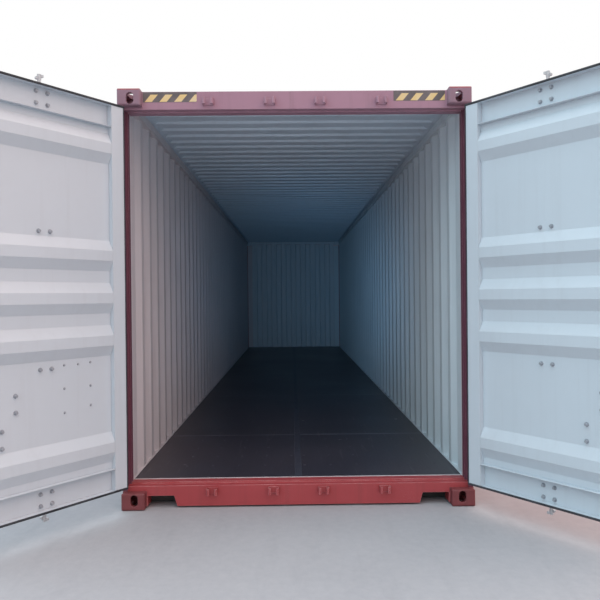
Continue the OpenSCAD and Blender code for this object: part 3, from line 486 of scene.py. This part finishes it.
def plywood_material():
    """Film faced plywood: long grain, a dull sheen, board joints, dust, tyre rubs and pale scuffs."""
    made, tree, shader = new_material("floor_plywood")
    even = stretched(tree)
    grain = noise(tree, stretched(tree, 1.2, 26, 8), 3.0, 6, 0.6)
    cloud = noise(tree, even, 0.7, 4)
    colour = mix_colour(tree, grain, (0.020, 0.017, 0.024, 1), (0.052, 0.044, 0.058, 1))
    across = stretched(tree, 0, 1, 0)
    bands = add_node(tree, "ShaderNodeTexWave", {"Vector": across, "Scale": 0.42, "Distortion": 0.0})
    colour = coated(tree, colour, (0.03, 0.036, 0.05), bands.outputs["Fac"], 0.22)
    colour = coated(tree, colour, (0.105, 0.085, 0.100), ramp(tree, cloud, 0.42, 0.75), 0.35)
    rubs = noise(tree, stretched(tree, 0.8, 12, 1), 2.4, 3, 0.5)
    colour = coated(tree, colour, (0.15, 0.14, 0.15), ramp(tree, rubs, 0.66, 0.74), 0.35)
    turn = over(tree, minus(tree, axes(tree, even)["X"], DOOR_X + FIRST_JOINT - BOARD_L / 2), BOARD_L)
    off = math_node(tree, "ABSOLUTE", minus(tree, math_node(tree, "FRACT", turn), 0.5))
    joint = minus(tree, 1, ramp(tree, off, 0.2 * JOINT_W / BOARD_L, 0.5 * JOINT_W / BOARD_L))
    broken = times(tree, joint, ramp(tree, noise(tree, even, 3, 5, 0.7), 0.30, 0.60))
    colour = coated(tree, colour, (0.150, 0.150, 0.180), broken, 0.8)
    colour = coated(tree, colour, (0.42, 0.40, 0.40), specks(tree, even, 3.1, 0.030, 0.070, 1.9, 0.54), 0.7)
    feed(tree, shader, {"Base Color": colour, "Roughness": plus(tree, 0.26, times(tree, cloud, 0.24)),
                        "Normal": bump(tree, grain, 0.0006)})
    return made


def zinc_material(name, tint, gloss, bare):
    """Zinc on steel: crystals, dull patches and a little white bloom. Bare is how metallic it looks."""
    made, tree, shader = new_material(name)
    even = stretched(tree)
    grey = add_node(tree, "ShaderNodeSeparateColor", {"Color": cells(tree, even, 90.0)["Color"]}).outputs[0]
    cloud = noise(tree, even, 6, 4)
    crystals = coated(tree, (*tint, 1), tuple(c * 0.72 for c in tint), grey, 0.5)
    feed(tree, shader, {
        "Base Color": coated(tree, crystals, (0.62, 0.62, 0.62), ramp(tree, cloud, 0.5, 0.75), 0.4),
        "Roughness": plus(tree, gloss, times(tree, cloud, 0.25)),
        "Metallic": minus(tree, bare, times(tree, cloud, 0.35)), "Normal": bump(tree, cloud, 0.0004)})
    return made


def rubber_material():
    """Black door rubber with a dusty bloom."""
    made, tree, shader = new_material("gasket_rubber")
    even = stretched(tree)
    cloud = noise(tree, even, 4.5, 4)
    dusty = mix_colour(tree, ramp(tree, cloud, 0.42, 0.8), (0.020, 0.021, 0.027, 1), (0.085, 0.088, 0.102, 1))
    feed(tree, shader, {"Base Color": dusty, "Roughness": plus(tree, 0.5, times(tree, cloud, 0.3)),
                        "Normal": bump(tree, noise(tree, even, 300, 2), 0.0003)})
    return made


def underside_material():
    """Thick tar wax on the base, lumpy and dusty."""
    made, tree, shader = new_material("underside_coating")
    even = stretched(tree)
    cloud = noise(tree, even, 3.5, 5)
    lumps = noise(tree, even, 60, 3)
    dusty = mix_colour(tree, ramp(tree, cloud, 0.4, 0.75), (0.012, 0.011, 0.011, 1), (0.060, 0.054, 0.050, 1))
    feed(tree, shader, {"Base Color": dusty, "Roughness": plus(tree, 0.45, times(tree, lumps, 0.4)),
                        "Normal": bump(tree, lumps, 0.0015)})
    return made


STICKER_LOW_Z = 2.8135
STICKER_H = 0.070
STRIPE_LOW_Z = 2.8165
STRIPE_H = 0.050
STRIPE_PITCH = 0.102
STRIPE_SHARE = 0.49
STRIPE_SOFT = 0.01
STRIPE_LEAN = 0.84
STRIPE_START = 0.015


def hazard_material(start_y):
    """Black and yellow bars that lean over, counted from the sticker's high Y end."""
    made, tree, shader = new_material("hazard_bars_%s" % ("left" if start_y > 0 else "right"))
    place = axes(tree, coordinates(tree)["Object"])
    run = minus(tree, start_y - STRIPE_START, place["Y"])
    up = minus(tree, place["Z"], STRIPE_LOW_Z)
    turn = over(tree, minus(tree, run, times(tree, up, STRIPE_LEAN)), STRIPE_PITCH)
    share = math_node(tree, "FRACT", turn)
    bar = times(tree, minus(tree, 1, ramp(tree, share, STRIPE_SHARE - STRIPE_SOFT, STRIPE_SHARE + STRIPE_SOFT)),
                above(tree, turn, 0), above(tree, up, 0), below(tree, up, STRIPE_H))
    even = stretched(tree)
    wear = noise(tree, even, 9, 5, 0.65)
    yellow = mix_colour(tree, ramp(tree, wear, 0.45, 0.8), (0.80, 0.56, 0.24, 1), (0.76, 0.62, 0.42, 1))
    black = mix_colour(tree, ramp(tree, wear, 0.35, 0.75), (0.110, 0.090, 0.088, 1), (0.200, 0.160, 0.165, 1))
    feed(tree, shader, {"Base Color": mix_colour(tree, bar, black, yellow),
                        "Roughness": plus(tree, 0.32, times(tree, wear, 0.3)),
                        "Normal": bump(tree, noise(tree, even, 40, 2), 0.0002)})
    return made


# Meshes

def new_object(name, data):
    made = bpy.data.objects.new(name, data)
    bpy.context.scene.collection.objects.link(made)
    return made


def riding(name, mesh, body):
    """A piece with a finished mesh, riding on a body."""
    piece = new_object(name, mesh)
    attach(piece, body)
    return piece


def new_piece(name, verts, faces, material, body):
    """A closed mesh with its normals outwards, riding on a body."""
    mesh = bpy.data.meshes.new(name)
    made = bmesh.new()
    corners = [made.verts.new(v) for v in verts]
    for face in faces:
        made.faces.new([corners[i] for i in face])
    bmesh.ops.remove_doubles(made, verts=made.verts, dist=1e-6)
    bmesh.ops.recalc_face_normals(made, faces=made.faces)
    made.to_mesh(mesh)
    made.free()
    mesh.materials.append(material)
    return riding(name, mesh, body)


def leaf_placing(side):
    """The matrix that takes a point of the shut left leaf to the same point of one open leaf."""
    swing = next(j for j in frame["joints"] if j["name"] == side + "_door_swing")
    angle = math.radians(swing["range_deg"][0])
    pin = Matrix.Translation((DOOR_X + PIN_DEPTH, PIN_Y, 0))
    turned = pin @ Matrix.Rotation(angle, 4, "Z") @ pin.inverted()
    return turned if side == "left" else Matrix.Scale(-1, 4, (0, 1, 0)) @ turned


LEAF = {side: leaf_placing(side) for side in ("left", "right")}


def leaf_way(side, x, y):
    """A direction of the shut left leaf, turned as one open leaf is."""
    return (LEAF[side].to_3x3() @ Vector((x, y, 0))).normalized()


# Geometry node trees

def close_tree(tree, shape, material, out):
    """The last nodes of a tree: instances made real, and the material set."""
    real = add_node(tree, "GeometryNodeRealizeInstances", {"Geometry": shape})
    painted = add_node(tree, "GeometryNodeSetMaterial", {"Geometry": real.outputs["Geometry"], "Material": material})
    feed(tree, out, {"Geometry": painted.outputs["Geometry"]})


def build_stud_tree():
    """A washer and a tapered head at each point, standing along the point's aim."""
    tree, given, out = new_tree(
        "GeometryNodeTree", "studs",
        [("Geometry", "Geometry", None), ("Sides", "Int", 12), ("Washer Radius", "Float", 0.015),
         ("Washer Height", "Float", 0.002), ("Head Radius", "Float", 0.01), ("Top Radius", "Float", 0.006),
         ("Head Height", "Float", 0.008), ("Material", "Material", None)],
        [("Geometry", "Geometry")])
    washer = add_node(tree, "GeometryNodeMeshCylinder",
                      {"Vertices": 14, "Radius": given["Washer Radius"], "Depth": given["Washer Height"]})
    head = add_node(tree, "GeometryNodeMeshCone",
                    {"Vertices": given["Sides"], "Radius Top": given["Top Radius"],
                     "Radius Bottom": given["Head Radius"], "Depth": given["Head Height"]})
    lift = add_node(tree, "ShaderNodeCombineXYZ", {"Z": times(tree, given["Washer Height"], 0.45)})
    raised = add_node(tree, "GeometryNodeTransform",
                      {"Geometry": head.outputs["Mesh"], "Translation": lift.outputs[0]})
    joined = tree.nodes.new("GeometryNodeJoinGeometry")
    for shape in (washer.outputs["Mesh"], raised.outputs["Geometry"]):
        tree.links.new(shape, joined.inputs[0])
    points = add_node(tree, "GeometryNodeMeshToPoints", {"Mesh": given["Geometry"]})
    aim = add_node(tree, "GeometryNodeInputNamedAttribute", {"Name": "aim"}, data_type="FLOAT_VECTOR")
    turn = add_node(tree, "FunctionNodeAlignRotationToVector", {"Vector": aim.outputs["Attribute"]}, axis="Z")
    placed = add_node(tree, "GeometryNodeInstanceOnPoints",
                      {"Points": points.outputs["Points"], "Instance": joined.outputs["Geometry"],
                       "Rotation": turn.outputs["Rotation"]})
    close_tree(tree, placed.outputs["Instances"], given["Material"], out)
    return tree


def build_bead_tree():
    """A rippled weld bead along each edge path."""
    tree, given, out = new_tree(
        "GeometryNodeTree", "weld_beads",
        [("Geometry", "Geometry", None), ("Radius", "Float", 0.004), ("Step", "Float", 0.012),
         ("Ripple", "Float", 0.0012), ("Seed", "Float", 4.0), ("Material", "Material", None)],
        [("Geometry", "Geometry")])
    path = add_node(tree, "GeometryNodeMeshToCurve", {"Mesh": given["Geometry"]})
    even = add_node(tree, "GeometryNodeResampleCurve", {"Curve": path.outputs["Curve"], "Length": given["Step"]},
                    mode="LENGTH")
    ripple = add_node(tree, "ShaderNodeTexNoise", {"Scale": 55.0, "Detail": 1.0, "W": given["Seed"]},
                      noise_dimensions="4D")
    swing = times(tree, minus(tree, ripple.outputs["Fac"], 0.5), times(tree, given["Ripple"], 2))
    size = plus(tree, given["Radius"], swing)
    sized = add_node(tree, "GeometryNodeSetCurveRadius", {"Curve": even.outputs["Curve"], "Radius": size})
    ring = add_node(tree, "GeometryNodeCurvePrimitiveCircle", {"Resolution": 6, "Radius": 1.0})
    tube = add_node(tree, "GeometryNodeCurveToMesh",
                    {"Curve": sized.outputs["Curve"], "Profile Curve": ring.outputs["Curve"], "Fill Caps": True,
                     "Scale": size})
    smooth = add_node(tree, "GeometryNodeSetShadeSmooth", {"Geometry": tube.outputs["Mesh"]})
    close_tree(tree, smooth.outputs["Geometry"], given["Material"], out)
    return tree


STUDS = build_stud_tree()
BEADS = build_bead_tree()


def grown(name, mesh, tree, sizes, material, body):
    """The plain mesh that a geometry node tree makes from a start mesh, riding on a body."""
    start = new_object(name + "_start", mesh)
    modifier = start.modifiers.new("grow", "NODES")
    modifier.node_group = tree
    values = {**sizes, "Material": material}
    for item in tree.interface.items_tree:
        if item.in_out == "INPUT" and item.name in values:
            modifier[item.identifier] = values[item.name]
    bpy.context.view_layer.update()
    done = bpy.data.meshes.new_from_object(start.evaluated_get(bpy.context.evaluated_depsgraph_get()))
    start.modifiers.remove(modifier)
    bpy.data.objects.remove(start)
    done.name = name
    return riding(name, done, body)


def studs(name, spots, sizes, material, body):
    """Bolts, rivets or screws at spots, each a place and the direction it stands in."""
    mesh = bpy.data.meshes.new(name + "_spots")
    mesh.from_pydata([tuple(place) for place, _ in spots], [], [])
    aims = mesh.attributes.new("aim", "FLOAT_VECTOR", "POINT")
    for i, (_, aim) in enumerate(spots):
        aims.data[i].vector = aim
    return grown(name, mesh, STUDS, sizes, material, body)


def beads(name, paths, sizes, material, body):
    """Weld beads along paths, each a list of points."""
    verts, edges = [], []
    for path in paths:
        first = len(verts)
        verts += [tuple(p) for p in path]
        edges += [(first + i, first + i + 1) for i in range(len(path) - 1)]
    mesh = bpy.data.meshes.new(name + "_paths")
    mesh.from_pydata(verts, edges, [])
    return grown(name, mesh, BEADS, sizes, material, body)


def stud_sizes(sides, washer, washer_h, head, top, head_h):
    return {"Sides": sides, "Washer Radius": washer, "Washer Height": washer_h, "Head Radius": head,
            "Top Radius": top, "Head Height": head_h}


LOCK_BOLT = stud_sizes(14, 0.0140, 0.0025, 0.0120, 0.0085, 0.0150)
ROUND_HEAD = stud_sizes(14, 0.0150, 0.0030, 0.0130, 0.0070, 0.0080)
SMALL_RIVET = stud_sizes(10, 0.0085, 0.0015, 0.0070, 0.0040, 0.0060)
FLOOR_SCREW = stud_sizes(12, 0.0085, 0.0012, 0.0060, 0.0050, 0.0010)

BOLT_SIDE = 0.038
BEARING_MIDDLE = 0.067
BEARING_ROW = 0.036
UPPER_BEARING_UP = 0.410
LOWER_BEARING_DOWN = 0.430
CATCH_BOLT_UP = 0.049
# How far the plates below the outer heads stand off a channel and the panel
CHANNEL_PLATE_T = 0.003
PANEL_PLATE_T = 0.004
# The middle of each handle catch, as Y and Z
CATCHES = {
    "left": ((OUTER_ROD_Y - 0.282, LOWER_HANDLE_Z), (INNER_ROD_Y + 0.229, UPPER_HANDLE_Z)),
    "right": ((OUTER_ROD_Y - 0.345, UPPER_HANDLE_Z), (INNER_ROD_Y + 0.174, LOWER_HANDLE_Z)),
}
# Distance from the hinge pin and height of small rivets in the left leaf's panel
LEFT_RIVETS = ((0.288, 1.048), (0.379, 1.043), (0.478, 1.045), (0.288, 0.897), (0.478, 0.899), (0.288, 0.770),
               (0.478, 0.748))


def lock_bolt_spots(side):
    """Where bolts go through the channels and the panel of a shut left leaf, as Y and Z."""
    channel, panel = [], []
    for rod in (OUTER_ROD_Y, INNER_ROD_Y):
        for across in (-BOLT_SIDE, BOLT_SIDE):
            for middle in (LEAF_LOW + BEARING_MIDDLE, LEAF_HIGH - BEARING_MIDDLE):
                channel += [(rod + across, middle + up) for up in (-BEARING_ROW, BEARING_ROW)]
            panel += [(rod + across, LEAF_MID_Z + up) for up in (UPPER_BEARING_UP, -LOWER_BEARING_DOWN)]
    for y, z in CATCHES[side]:
        panel += [(y, z + up) for up in (-CATCH_BOLT_UP, CATCH_BOLT_UP)]
    return channel, panel


def add_door_bolts(side, zinc):
    """Collars on the inside and heads on the outside of one leaf."""
    placing, inwards = LEAF[side], leaf_way(side, 1, 0)
    channel, panel = lock_bolt_spots(side)
    inner, outer = [], []
    for spots, back, face in ((channel, LEAF_OUTER + LEAF_SKIN, LEAF_OUTER - CHANNEL_PLATE_T),
                              (panel, PANEL_FACE + SHEET_T, PANEL_FACE - PANEL_PLATE_T)):
        for y, z in spots:
            inner.append((placing @ Vector((DOOR_X + back, y, z)), inwards))
            outer.append((placing @ Vector((DOOR_X + face, y, z)), -inwards))
    body = side + "_door"
    studs(side + "_lock_bolt_collars", inner, LOCK_BOLT, zinc, body)
    studs(side + "_lock_bolt_heads", outer, ROUND_HEAD, zinc, body)


def add_left_rivets(zinc):
    """Small rivet tips in the left leaf's panel."""
    back = DOOR_X + PANEL_FACE + SHEET_T
    spots = [(LEAF["left"] @ Vector((back, PIN_Y - reach, z)), leaf_way("left", 1, 0)) for reach, z in LEFT_RIVETS]
    studs("left_panel_rivets", spots, SMALL_RIVET, zinc, "left_door")


GASKET_LIP = 0.009
HINGE_SIDE_LIP = 0.003
# Outward from the leaf's edge, and depth behind the casting faces
GASKET_PROFILE = (
    (0.0000, 0.0820), (0.0040, 0.0820), (0.0090, 0.0838), (0.0090, 0.0855), (0.0050, 0.0868), (0.0050, 0.0940),
    (0.0090, 0.0975), (0.0090, 0.0990), (0.0045, 0.1000), (0.0000, 0.1004), (-0.0030, 0.1000),
    (-0.0050, 0.0985), (-0.0050, 0.0962), (0.0000, 0.0962))


def add_gasket(side, rubber):
    """A double lipped seal round one leaf, swept from its profile with mitred corners."""
    verts, faces = [], []
    hinge_share = HINGE_SIDE_LIP / GASKET_LIP
    for outward, depth in GASKET_PROFILE:
        hinge_out = outward * hinge_share if outward > 0 else outward
        ring = ((LEAF_MIDDLE_Y - outward, LEAF_LOW - outward), (LEAF_HINGE_Y + hinge_out, LEAF_LOW - outward),
                (LEAF_HINGE_Y + hinge_out, LEAF_HIGH + outward), (LEAF_MIDDLE_Y - outward, LEAF_HIGH + outward))
        verts += [LEAF[side] @ Vector((DOOR_X + depth, y, z)) for y, z in ring]
    count = len(GASKET_PROFILE)
    for i in range(count):
        here, there = i * 4, (i + 1) % count * 4
        faces += [(here + k, here + (k + 1) % 4, there + (k + 1) % 4, there + k) for k in range(4)]
    piece = new_piece(side + "_door_seal", verts, faces, rubber, side + "_door")
    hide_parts(side + "_door_gasket")


STICKER_ENDS = {"left": (1.055, 0.680), "right": (-0.686, -1.045)}
STICKER_T = 0.0006
STICKER_ROUND = 0.004


def add_hazard_sticker(side):
    """A thin film with round corners on the face of the door header."""
    high, low = STICKER_ENDS[side]
    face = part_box("door_header")[0].x
    top = STICKER_LOW_Z + STICKER_H
    outline = []
    turns = ((high, STICKER_LOW_Z, 1, 1), (high, top, 1, -1), (low, top, -1, -1), (low, STICKER_LOW_Z, -1, 1))
    for index, (y, z, from_y, from_z) in enumerate(turns):
        steps = [(math.sin(a), math.cos(a)) for a in (0, math.pi / 8, math.pi / 4, 3 * math.pi / 8, math.pi / 2)]
        if index % 2:
            steps.reverse()
        outline += [(y - from_y * STICKER_ROUND * (1 - s), z + from_z * STICKER_ROUND * (1 - c)) for s, c in steps]
    count = len(outline)
    verts = [(face, y, z) for y, z in outline] + [(face - STICKER_T, y, z) for y, z in outline]
    faces = [tuple(range(count)), tuple(range(count, 2 * count))]
    faces += [(i, (i + 1) % count, (i + 1) % count + count, i + count) for i in range(count)]
    new_piece(side + "_hazard_bars", verts, faces, hazard_material(high), "container")


WALL_BEAD = {"Radius": 0.0035, "Step": 0.02, "Ripple": 0.001}
FRAME_BEAD = {"Radius": 0.004, "Step": 0.01, "Ripple": 0.0014}
WELD_OUT = 0.003
POST_LIP = 0.015
SILL_WELD_LOW = 0.090


def wall_line(side, z):
    """The outer line of a corrugated side wall at one height."""
    low, high = side * (wall_low.y + SHEET_T + WELD_OUT), side * (wall_high.y + WELD_OUT)
    line = [(wall_low.x, low, z)]
    for i in range(WALL_COUNT):
        x = WALL_START + i * WALL_PITCH
        line += [(x, low, z), (x + WALL_SLOPE, high, z), (x + WALL_SLOPE + WALL_CREST, high, z),
                 (x + WALL_RIDGE, low, z)]
    return line + [(wall_high.x, low, z)]


def add_welds(wall_paint, frame_paint):
    """Beads where the walls meet the rails and where the posts and rails meet the castings."""
    paths = [wall_line(side, z) for side in (1, -1) for z in (wall_low.z, wall_high.z)]
    beads("wall_welds", paths, WALL_BEAD, wall_paint, "container")
    low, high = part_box("left_rear_post")
    header_low, header_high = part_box("door_header")
    paths = []
    for side in (1, -1):
        for z in (low.z, high.z):
            paths.append([(low.x, side * (low.y + POST_LIP), z), (low.x, side * high.y, z),
                          (high.x, side * high.y, z)])
        y = side * (HALF_W - CASTING_W)
        paths.append([(header_low.x, y, high.z), (header_low.x, y, header_high.z)])
        paths.append([(header_low.x, y, SILL_WELD_LOW), (header_low.x, y, CASTING_H)])
    beads("frame_welds", paths, FRAME_BEAD, frame_paint, "container")


CROSS_PITCH = 0.290
SCREW_GAP = 0.200
FIRST_SCREW_X = 0.030
FIRST_SCREW_Y = 0.050
SCREW_EDGE = 0.020


def add_floor_screws(steel):
    """Countersunk screws through the boards into every cross member."""
    low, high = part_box("floor_sheets")
    spots = []
    x = low.x + FIRST_SCREW_X
    while x < high.x - SCREW_EDGE:
        y = FIRST_SCREW_Y
        while y < high.y - SCREW_EDGE:
            spots += [(Vector((x, side * y, high.z)), Vector((0, 0, 1))) for side in (1, -1)]
            y += SCREW_GAP
        x += CROSS_PITCH
    studs("floor_screws", spots, FLOOR_SCREW, steel, "container")


# Materials on the frame's own pieces

def dress(names, material):
    """The same material on each of these CAD nodes."""
    for name in names:
        slots = frame["nodes"][name].data.materials
        slots.clear()
        slots.append(material)


def dress_end_frames():
    """Red paint on sill, header, castings and front rails, with the walls' red on top and grey inside. The header
    and the rear top castings are paled to mauve for a painted sky reflection and haze, the bottom castings are a
    darker red for painted shade with grime, and the sill's edges are paled strongly for a painted highlight with
    wear.
    """
    up = (0, 0, 1)
    # The sill's edges paled strongly: a painted highlight along its rounded front edge, with wear
    dress(["door_sill", "sill_cam_keepers", "left_hinge_lugs", "left_door_hinges", "right_hinge_lugs",
           "right_door_hinges"], paint_material("frame_paint", RED, wear=0.9))
    # The bottom castings in a darker red: painted shade from the open doors, with grime
    dress(["bottom_corner_castings"], paint_material("casting_paint", SHADED_CASTING_RED, wear=0.3))
    # The header's faces in red paled to mauve for a painted sky reflection and haze, its tops in the walls' red
    dress(["door_header", "header_cam_keepers"],
          paint_material("chalked_frame_paint", SKY_REFLECTION_RED, (WALL_RED, looks(up), WORN_AND_HIGHLIT_EDGE), edge=SKY_REFLECTION_EDGE))
    front_half = beyond((1, 0, 0), 0)
    room = all_of(front_half, beyond((-1, 0, 0), FRONT_PAINT_DEPTH - FRONT_X), beyond((0, 1, 0), -wall_low.y),
                  beyond((0, -1, 0), -wall_low.y), beyond((0, 0, -1), MARGIN - HEIGHT))
    # The top castings in red paled to mauve for a painted sky reflection and haze, with the walls' red on their tops
    # and on the front ones, and grey inside
    dress(["top_corner_castings"],
          paint_material("top_casting_paint", SKY_REFLECTION_TOP_CASTING, (WALL_RED, any_of(looks(up), front_half), WORN_AND_HIGHLIT_EDGE),
                         (LINING_GREY, room, PALE_WORN_AND_HIGHLIT_EDGE), edge=SKY_REFLECTION_EDGE, wear=0.4))
    for name, upright in (("front_top_rail", -1), ("front_bottom_rail", 1)):
        inner = corner_inside(((0, 0, upright), -NOWHERE), ((-1, 0, 0), FRONT_PAINT_DEPTH - FRONT_X))
        dress([name], paint_material(name + "_paint", WALL_RED, (LINING_GREY, inner, PALE_WORN_AND_HIGHLIT_EDGE), wear=0.3))


def dress_side(side, sign, lining):
    """Red outside and grey inside on one side's posts, rails, wall and leaf. The rear post's faces towards the doors
    are darker for painted shade and its inner face paler for a painted highlight, and the inner grey is tinted by
    the colour of the light on that side.
    """
    inwards = (0, -sign, 0)
    rear = corner_inside((inwards, -wall_low.y), ((1, 0, 0), DOOR_X + POST_PAINT_DEPTH))
    front = corner_inside((inwards, -wall_low.y), ((-1, 0, 0), FRONT_PAINT_DEPTH - FRONT_X))
    # Rear posts: faces towards the doors in a darker red of painted shade, outer sides in the walls' red, inner
    # faces in a paler grey of painted highlight
    dress([side + "_rear_post"],
          paint_material(side + "_rear_post_paint", SHADED_POST_RED, (WALL_RED, looks((0, sign, 0)), WORN_AND_HIGHLIT_EDGE),
                         (HIGHLIT_POST_LINING, rear, PALE_WORN_AND_HIGHLIT_EDGE), wear=0.3))
    for names, label, mask, wear in ((["front_post"], "front_post", front, 0.3),
                                     (["top_rail", "bottom_rail"], "rail", rail_inside(inwards), 0.3),
                                     (["side_wall"], "wall", faces_inwards(inwards), 0.15)):
        dress(["%s_%s" % (side, name) for name in names],
              paint_material("%s_%s_paint" % (side, label), WALL_RED, (lining, mask, PALE_WORN_AND_HIGHLIT_EDGE), wear=wear))
    dress([side + "_door_frame", side + "_door_panel"],
          paint_material(side + "_door_paint", RED, (DOOR_GREY, leaf_inside(side), PALE_WORN_AND_HIGHLIT_EDGE), wear=0.2))


def dress_frame():
    """Paint, zinc, rubber and wood on every CAD node, and what the added pieces share with them."""
    zinc, rubber = zinc_material("zinc_rods", (0.60, 0.61, 0.63), 0.34, 0.85), rubber_material()
    strip = paint_material("strip_paint", STRIP_STEEL, edge=STRIP_EDGE)
    dress_end_frames()
    dress_side("left", 1, WARM_LIT_LEFT_LINING)
    dress_side("right", -1, COOL_LIT_RIGHT_LINING)
    # Inner faces of front wall and roof in grey; the roof's grey is tinted cool for the light that falls on it
    for name, inwards, lining in (("front_wall", (-1, 0, 0), LINING_GREY), ("roof_panel", (0, 0, -1), COOL_LIT_ROOF_LINING)):
        dress([name], paint_material(name + "_paint", WALL_RED, (lining, faces_inwards(inwards), PALE_WORN_AND_HIGHLIT_EDGE),
                                     wear=0.15))
    dress(["cross_members", "gooseneck_tunnel", "tunnel_sides", "tunnel_bows", "tunnel_outriggers"],
          underside_material())
    dress(["floor_sheets"], plywood_material())
    dress(["threshold"], paint_material("threshold_paint", WORN_STEEL, edge=PALE_WORN_AND_HIGHLIT_EDGE))
    dress(["floor_centre_strip"], strip)
    for side in ("left", "right"):
        dress([side + "_rod_bearings"] + ["%s_%s_%s" % (side, which, kind) for which in ("outer", "inner")
                                          for kind in ("lock_rod", "handle")], zinc)
        dress([side + "_door_gasket"], rubber)
    # Welds low down in the castings' darker red of painted shade, high up in the header's mauve of painted sky
    # reflection
    frame_weld = paint_material("frame_weld_paint", SHADED_CASTING_RED,
                                (SKY_REFLECTION_RED, beyond((0, 0, 1), HEIGHT / 2), SKY_REFLECTION_EDGE), wear=0.2)
    return {"bolt": zinc_material("zinc_bolts", (0.38, 0.40, 0.44), 0.36, 0.45), "rubber": rubber, "strip": strip,
            "wall weld": paint_material("wall_weld_paint", WALL_RED, wear=0.2), "frame weld": frame_weld}


# Camera, light and floor

def add_camera():
    """The photo's view, as yaw, tilt and roll about the camera's place."""
    yaw, tilt, roll = (math.radians(a) for a in (CAMERA_YAW_DEG, CAMERA_TILT_DEG, CAMERA_ROLL_DEG))
    ahead = Vector((math.cos(yaw) * math.cos(tilt), math.sin(yaw) * math.cos(tilt), math.sin(tilt)))
    level = Vector((math.sin(yaw), -math.cos(yaw), 0))
    upright = level.cross(ahead)
    across = math.cos(roll) * level + math.sin(roll) * upright
    up = -math.sin(roll) * level + math.cos(roll) * upright
    data = bpy.data.cameras.new("camera")
    data.lens = CAMERA_LENS_MM
    data.sensor_width = CAMERA_SENSOR_MM
    data.clip_end = CAMERA_REACH
    camera = new_object("camera", data)
    camera.matrix_world = Matrix.Translation(CAMERA_AT) @ Matrix((across, up, -ahead)).transposed().to_4x4()
    bpy.context.scene.camera = camera


SKY_LOW = 0.50
SKY_RISE = 1.75
SKY_WARM = (1.14, 0.91, 0.86, 1)
SKY_COOL = (0.82, 1.06, 1.18, 1)
SKY_TURN = 0.30


def add_sky():
    """An overcast sky: white to the camera, brighter overhead, cooler from the left than from the right."""
    world = bpy.data.worlds.new("overcast")
    world.use_nodes = True
    tree = world.node_tree
    tree.nodes.clear()
    place = axes(tree, coordinates(tree)["Generated"])
    level = plus(tree, SKY_LOW, times(tree, most(tree, place["Z"], 0), SKY_RISE))
    side = ramp(tree, place["Y"], -SKY_TURN, SKY_TURN)
    light = add_node(tree, "ShaderNodeBackground",
                     {"Color": mix_colour(tree, side, SKY_WARM, SKY_COOL), "Strength": level})
    white = add_node(tree, "ShaderNodeBackground", {"Color": (1, 1, 1, 1), "Strength": 1.0})
    seen = add_node(tree, "ShaderNodeLightPath").outputs
    direct = most(tree, seen["Is Camera Ray"], seen["Is Glossy Ray"], seen["Is Transmission Ray"])
    mixed = add_node(tree, "ShaderNodeMixShader", {0: direct, 1: light.outputs[0], 2: white.outputs[0]})
    add_node(tree, "ShaderNodeOutputWorld", {"Surface": mixed.outputs[0]})
    bpy.context.scene.world = world


DEPTH_LIGHT_W = 6.5
DEPTH_LIGHT_COLOUR = (0.26, 0.57, 0.91)
DEPTH_LIGHT_SPREAD = math.radians(45)
DEPTH_LIGHT_AIM = math.radians(-7)
DEPTH_LIGHT_Y = 0.25
DEPTH_LIGHT_SIZE = 1.6
DEPTH_LIGHT_IN = 0.3


def add_depth_light():
    """A soft cool light from just inside the doorway towards the front wall."""
    data = bpy.data.lights.new("depth_light", "AREA")
    data.shape = "SQUARE"
    data.size = DEPTH_LIGHT_SIZE
    data.energy = DEPTH_LIGHT_W
    data.color = DEPTH_LIGHT_COLOUR
    data.spread = DEPTH_LIGHT_SPREAD
    lamp = new_object("depth_light", data)
    aim = Matrix.Rotation(DEPTH_LIGHT_AIM, 4, "Z") @ Matrix.Rotation(-math.pi / 2, 4, "Y")
    lamp.matrix_world = Matrix.Translation((DOOR_X + DEPTH_LIGHT_IN, DEPTH_LIGHT_Y, HEIGHT / 2)) @ aim
    lamp.visible_camera = False
    lamp.visible_glossy = False


YARD_CORNERS = 64
YARD_RADIUS = 60


def add_floor():
    """A pale concrete yard, brushed and slightly stained."""
    made, tree, shader = new_material("yard_concrete")
    even = stretched(tree)
    cloud = noise(tree, even, 0.55, 5)
    grit = noise(tree, even, 18, 5, 0.65)
    brushed = noise(tree, stretched(tree, 0.6, 5, 1), 1.7, 5, 0.6)
    colour = mix_colour(tree, ramp(tree, cloud, 0.3, 0.75), (0.350, 0.355, 0.377, 1), (0.415, 0.418, 0.436, 1))
    colour = coated(tree, colour, (0.235, 0.240, 0.262), ramp(tree, brushed, 0.5, 0.8), 0.22)
    colour = coated(tree, colour, (0.52, 0.52, 0.52), ramp(tree, grit, 0.35, 0.8), 0.28)
    feed(tree, shader, {"Base Color": colour, "Roughness": 0.85, "Normal": bump(tree, grit, 0.002)})
    mesh = bpy.data.meshes.new("yard")
    turns = [math.tau * i / YARD_CORNERS for i in range(YARD_CORNERS)]
    mesh.from_pydata([(YARD_RADIUS * math.cos(turn), YARD_RADIUS * math.sin(turn), 0) for turn in turns], [],
                     [tuple(range(YARD_CORNERS))])
    mesh.materials.append(made)
    new_object("yard", mesh)


add_camera()
add_sky()
add_depth_light()
add_floor()
paints = dress_frame()
for leaf in ("left", "right"):
    add_door_bolts(leaf, paints["bolt"])
    add_gasket(leaf, paints["rubber"])
    add_hazard_sticker(leaf)
add_left_rivets(paints["bolt"])
add_welds(paints["wall weld"], paints["frame weld"])
add_floor_screws(paints["strip"])

bpy.context.scene.view_settings.view_transform = "Standard"
